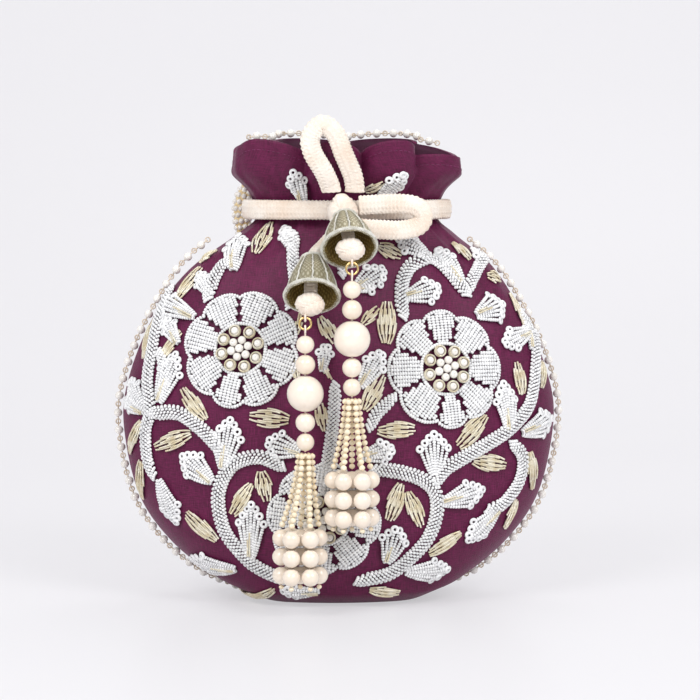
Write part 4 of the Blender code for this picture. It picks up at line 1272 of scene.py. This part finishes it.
around = [math.tau * i / 560 for i in range(560)]
neck_path = [point_at(NECK_SHIFT / MM + NECK_RING[0] * math.cos(a), NECK_RING[1] * math.sin(a), NECK_RING_HEIGHT)
             for a in around]
outward = [Vector((NECK_RING[1] * math.cos(a), NECK_RING[0] * math.sin(a), 0)) for a in around]
settled(knitted("neck_cord_knit", neck_path, CORD_WIDTH, CORD_THICK, CREAM_CORD, outward, closed=True),
        "bag", "neck_cord", slot="cream_cord")
upper_path = smooth_path([from_knot(*p) for p in (
    (-5.3, 0, 9.3), (-5.6, -0.6, 11.5), (-8.5, -3, 18), (-13.8, -5, 27), (-14.6, -6, 34), (-9.5, -6.5, 39.2),
    (-3.6, -6, 35), (0.2, -4.5, 26), (4.2, -2, 17), (5.3, -0.6, 11.5), (5.3, 0, 9.3))], PATH_STEP)
side_path = smooth_path([from_knot(*p) for p in (
    (7.2, 0, 3.2), (17, -0.5, 3.8), (26, -1, 4), (33, -1, 2.6), (36, -0.8, -1.6), (33.5, -0.6, -6),
    (26, -0.5, -7.8), (17, 0, -7.6), (7.2, 0, -7))], PATH_STEP)
for name, path in (("bow_loop_upper", upper_path), ("bow_loop_side", side_path)):
    declared(knitted(name + "_knit", path, CORD_WIDTH, CORD_THICK, CREAM_CORD, -ALONG_Y), path, name)


# %% [markdown]
# A knot is the same cord wrapped over itself. Seen whole it is a lump with a few slanting turns, so it is a
# rounded form whose surface rises and falls with the turns and with the stitches on them.

# %% Knots
LEVELS, AROUND = 60, 96     # how finely a knot's surface is divided


def lump(name, centre, size, turns, tilt, node_name):
    """A rounded form with slanting turns. Its size is in millimetres, and its tilt leans the turns."""
    rings = []
    for j in range(1, LEVELS):
        polar = math.pi * j / LEVELS
        ring = []
        for i in range(AROUND):
            a = math.tau * i / AROUND
            way = Vector((math.sin(polar) * math.cos(a), math.sin(polar) * math.sin(a), math.cos(polar)))
            band = turns * (way.z * math.cos(tilt) + way.x * math.sin(tilt)) * 1.6
            wrap = abs(math.sin(band))
            stitch = math.cos(17 * (way.x * math.cos(tilt) - way.z * math.sin(tilt)) + 9 * wrap)
            shrink = 1 - 0.11 * (1 - wrap ** 0.5) + 0.022 * stitch
            ring.append(centre + Vector((way.x * size[0], way.y * size[1], way.z * size[2])) * MM / 2 * shrink)
        rings.append(ring)
    settled(ringed(name, rings, CREAM_CORD), "bag", node_name, slot="cream_cord")


lump("bow_knot_wrap", KNOT, (13.9, 12.4, 17.4), 2.0, 0.7, "bow_knot")

# %% [markdown]
# ## Bells and tassels
#
# Each cord end goes through a small bell of gold tissue and ends in a knot in its mouth. From the knot hang
# a wire ring and a tassel. The two sides are alike but hang at different heights, so a table gives each
# side's places, in millimetres with y from the seams' plane, and functions make the pieces from it.

# %% Places and sizes of the bells and tassels
END_KNOT = (13.0, 11.0, 10.5)
GORES = 10
STEM_PEARLS = (8.0, 8.9, 16.0, 8.6, 8.0)
STRINGS, SEED_PITCH = 7, 2.62 * MM
END_ROWS, END_PEARL, END_PITCH = 3, 7.9 * MM, 8.35 * MM
RING_RADIUS, EYE_RADIUS, TAIL_WIDTH = 2.6 * MM, 1.6 * MM, 6.2 * MM
SIDES = {
    "left": {"eye": (-18, -64.5, 132.3), "mouth": (-14.9, -60.3, 141.0), "top": (-14.1, -47.0, 156.8),
             "knot": (-15.83, -62.3, 138.0), "first_row": 35.4, "shift": -2.3},
    "right": {"eye": (2.5, -64.5, 156.3), "mouth": (1.6, -60.6, 162.3), "top": (0.4, -46.6, 175.5),
              "knot": (1.87, -62.3, 162.0), "first_row": 60.8, "shift": 0.0},
}
print("Strings of seeds on each side:", STRINGS)

# %% [markdown]
# A bell is sewn from ten gores. The cloth swells between the seams, so the radius grows and shrinks ten
# times on the way round. The seams are overcast with silver thread, in a zigzag, and each rim is a rope of
# two threads: each winds round the rim, half a turn after the other.

# %% Bell
BELL_SIDES = 120


def bell(side, top, mouth):
    """A cone of gores from its top to its mouth, with a lining, stitched seams and two roped rims."""
    axis = (mouth - top).normalized()
    across = axis.cross(ALONG_X).normalized()
    other = axis.cross(across)
    length = (mouth - top).length
    outline = smooth_path([(4.7, 0, 0), (6.4, 0, 0.18), (8.6, 0, 0.42), (10.3, 0, 0.68), (11.1, 0, 0.86),
                           (12.0, 0, 0.95), (11.7, 0, 1.0)], 0.55)
    outer = [(p.x * MM, p.z * length, 1.0) for p in outline]
    inner = [(r - 1.0 * MM, along, 0.6) for r, along, _ in reversed(outer)]

    def spot(radius, along, angle, swell):
        gore = 0.8 * MM * abs(math.sin(GORES / 2 * angle)) ** 0.7 - 0.4 * MM
        out = across * math.cos(angle) + other * math.sin(angle)
        return top + axis * along + out * (radius + gore * swell)

    rings = [[spot(r, along, math.tau * i / BELL_SIDES, swell) for i in range(BELL_SIDES)]
             for r, along, swell in outer + inner]
    made = ringed(f"bell_{side}_tissue", rings, TISSUE, closed=True, inside=len(outer))
    made.data.materials.append(TISSUE_INSIDE)
    settled(made, "bag", "bell_" + side, slot="gold_tissue")
    seams = [[spot(r + 0.5 * MM, along, math.tau * k / GORES + (0.022 if n % 2 else -0.022), 1.0)
              for n, (r, along, _) in enumerate(outer)] for k in range(GORES)]
    for phase in (0.0, math.pi):
        seams.append([spot(12.0 * MM + 0.5 * MM * math.cos(45 * a + phase),
                           length * 0.965 + 0.5 * MM * math.sin(45 * a + phase), a, 0.0)
                      for a in (math.tau * k / 360 for k in range(361))])
        seams.append([spot(5.0 * MM + 0.4 * MM * math.cos(24 * a + phase), 0.4 * MM * math.sin(24 * a + phase), a, 0.0)
                      for a in (math.tau * k / 180 for k in range(181))])
    settled(threads(f"bell_{side}_seams", seams, 0.8 * MM, SILVER_THREAD, sides=5), "bag")


# %% [markdown]
# A tassel hangs from a ring of wire that goes through a thread eye above it and another below. On the stem
# are five pearls. Under them one string of seed beads hangs straight down and six round it spread out to
# the width of the large pearls, three of which end each string. Each string's path is a rule, and a bead is
# set at each step along it.

# %% Tassel
def strand_place(top, first_row, shift, number, t):
    """A point of a string of seeds, from the stem's foot to its first large pearl."""
    angle = math.tau * number / (STRINGS - 1)
    way = Vector((math.cos(angle), math.sin(angle), 0)) if number else Vector((0, 0, 0))
    tight, wide = way * 3.0 * MM, way * END_PITCH + ALONG_X * shift * MM
    high, low = top.z - 0.5 * MM, first_row + 4.75 * MM
    return Vector((top.x, top.y, high + (low - high) * t)) + tight.lerp(wide, t ** 1.6)


def tassel(side, spec):
    """A ring, a stem of pearls and seven strings, from the eye under the knot down."""
    eye, first_row = point_at(*spec["eye"]), spec["first_row"] * MM
    ring = threads(f"jump_ring_{side}_wire", [circle(eye - UP * RING_RADIUS, RING_RADIUS, ALONG_X, UP)],
                   1.0 * MM, WIRE, sides=10)
    settled(ring, "ring_" + side, "jump_ring_" + side, slot="gold_wire")
    low_eye = eye - UP * 2 * RING_RADIUS
    pearls, z = [], low_eye.z - 2.65 * MM
    for size in STEM_PEARLS:
        z -= size / 2 * MM
        pearls.append((Vector((eye.x, eye.y, z)), UP, ALONG_X, size * MM))
        z -= (size / 2 + 0.35) * MM
    foot = Vector((eye.x, eye.y, z))
    stem = threads(f"stem_{side}_thread", [circle(low_eye, EYE_RADIUS, ALONG_Y, UP),
                                           [low_eye - UP * EYE_RADIUS, foot]], 0.8 * MM, CREAM_CORD, sides=8)
    seeds, yellow = [], []
    for number in range(STRINGS):
        line = [strand_place(foot, first_row, spec["shift"], number, k / 60) for k in range(61)]
        path, _ = evenly(line, SEED_PITCH)
        yellow.append(path)
        for i, place in enumerate(path[:-1]):
            seeds.append((place.lerp(path[i + 1], 0.5), way_along(path, i), ALONG_X, 1.0))
        for row in range(END_ROWS):
            middle = Vector((path[-1].x, path[-1].y, first_row - row * END_PITCH))
            pearls.append((middle, UP, ALONG_X, END_PEARL))
        seeds.append((middle - UP * 5.1 * MM, UP, ALONG_X, 0.85))
    beads = grown(f"tassel_{side}_pearls", BEADS, pearls, Bead=PEARL, Width=1.0, Length=0.985, Uneven=0.012,
                  Seed=9, Finish=IVORY_PEARLS)
    strings = grown(f"tassel_{side}_seeds", BEADS, seeds, Bead=SMALL_PEARL, Width=2.7 * MM, Length=2.45 * MM,
                    Uneven=0.05, Seed=4, Finish=CREAM_SEEDS)
    thread = threads(f"tassel_{side}_threads", yellow, 0.7 * MM, TASSEL_THREAD, sides=5)
    body = "tassel_" + side
    settled(stem, body, "stem_" + side)
    settled(beads, body, *[f"pearl_{side}_{k + 1}" for k in range(len(STEM_PEARLS))], slot="pearl")
    settled(strings, body, *[f"strand_{side}_{k + 1}" for k in range(STRINGS)], slot="pearl")
    settled(thread, body)
    print("Tassel", side, len(pearls), "pearls and", len(seeds), "seeds")


# %% [markdown]
# The cord's two ends go from the bow's knot through the bells and end at the knots in their mouths. The bells
# hide most of both. The left one is long enough to be a free cord; the right one is a short stub.

# %% Tails, and both sides put together
def tail(side, spec, points):
    """The cord from the bow's knot through the bell, to just above the knot in its mouth."""
    top, knot = point_at(*spec["top"]), point_at(*spec["knot"])
    way = (top - knot).normalized()
    reach = 1 / math.sqrt(sum((way[i] / (END_KNOT[i] / 2)) ** 2 for i in range(3))) * MM
    path = smooth_path([*points, top, knot + way * (reach + 0.6 * MM)], PATH_STEP)
    made = knitted(f"tail_{side}_knit", path, TAIL_WIDTH, TAIL_WIDTH, CREAM_CORD, Vector((1, 0, 0.2)), sides=32)
    return made, path


for side, spec in SIDES.items():
    bell(side, point_at(*spec["top"]), point_at(*spec["mouth"]))
    lump(f"end_knot_{side}_wrap", point_at(*spec["knot"]), (13.2, 11.2, 10.7), 1.6, -0.5, "end_knot_" + side)
    eye = circle(point_at(*spec["eye"]), EYE_RADIUS, ALONG_Y, UP)
    settled(threads(f"upper_eye_{side}", [eye], 0.9 * MM, CREAM_CORD, sides=8), "bag")
    tassel(side, spec)
left_tail, left_path = tail("left", SIDES["left"], [from_knot(-3, 0, -8.2), from_knot(-8.2, -3.2, -14)])
declared(left_tail, left_path, "tail_left")
right_tail, _ = tail("right", SIDES["right"], [from_knot(0.4, -7.5, 0)])
settled(right_tail, "bag", "tail_right", slot="cream_cord")

# %% [markdown]
# ## Handle
#
# Behind the frill hangs the handle, a golden strap rolled round and set with small pearls. Only a little
# of it shows beside the neck; the rest lies down the bag's back, sewn on at both ends. The pearls sit in
# rings, each ring turned half a pearl against the next.

# %% Handle rope
HANDLE_WIDTH, STRAP_WIDTH, HANDLE_PEARL_WIDTH = 9.4 * MM, 7.4 * MM, 2.6 * MM
PEARL_ROUND, PEARL_PITCH, PEARL_CIRCLE = 9, 2.75 * MM, 3.45 * MM
BACKWARDS = Vector((0.1, 1, 0.1))


def behind(across, up, lift):
    """A place down the back, in percent of the half width and of the neck's height, a lift off the silk."""
    x, z = across / 100 * HALF_WIDTH, up / 100 * NECK_HEIGHT
    hit, _, _, _ = BACK.ray_cast(Vector((x, 0.3, z)), -ALONG_Y)
    return Vector((x, hit.y + (4.7 + lift) * MM, z))


def beside_neck(right, back, up):
    """A place beside the neck, in millimetres from the middle of its side."""
    return point_at(41.5 + right, 21.5 + back, 175 + up)


half = [behind(0, 48, 0.9), behind(14.1, 50.9, 0.9), behind(25.2, 60.6, 0.9), behind(32.3, 73.7, 1.1),
        behind(36.3, 84.6, 1.6), beside_neck(0, 5, -13), beside_neck(3.1, 3.5, 2), beside_neck(0, 5, 12),
        beside_neck(-7, 7, 18)]
handle_path = smooth_path(mirrored(half[1:]) + half, 1.6 * MM)
core = knitted("handle_strap", handle_path, STRAP_WIDTH, STRAP_WIDTH, STRAP, BACKWARDS, sides=20, depth=0.12 * MM)
ring_places, _ = evenly(handle_path, PEARL_PITCH)
handle_beads = []
for i, place in enumerate(ring_places):
    way = way_along(ring_places, i)
    first = (BACKWARDS - way * way.dot(BACKWARDS)).normalized()
    second = way.cross(first)
    for k in range(PEARL_ROUND):
        a = math.tau * (k + 0.5 * (i % 2)) / PEARL_ROUND
        out = first * math.cos(a) + second * math.sin(a)
        handle_beads.append((place + out * PEARL_CIRCLE, way, out, 1.0))
HANDLE_PEARL = bead_shape("handle_pearl_shape", 0.12, 5, 8)
handle_pearls = grown("handle_pearls", BEADS, handle_beads, Bead=HANDLE_PEARL, Width=HANDLE_PEARL_WIDTH,
                      Length=HANDLE_PEARL_WIDTH, Uneven=0.04, Seed=6, Finish=LACE_PEARLS)
settled(handle_pearls, "bag", slot="pearl")
declared(core, handle_path, "handle_rope")
print("Handle pearls:", len(handle_beads))

# %% [markdown]
# ## The end
#
# The bead shapes were only patterns, so they go.

# %% The end
for shape in (SEED, RING_SEQUIN, PEARL, SMALL_PEARL, HANDLE_PEARL):
    bpy.data.objects.remove(shape)
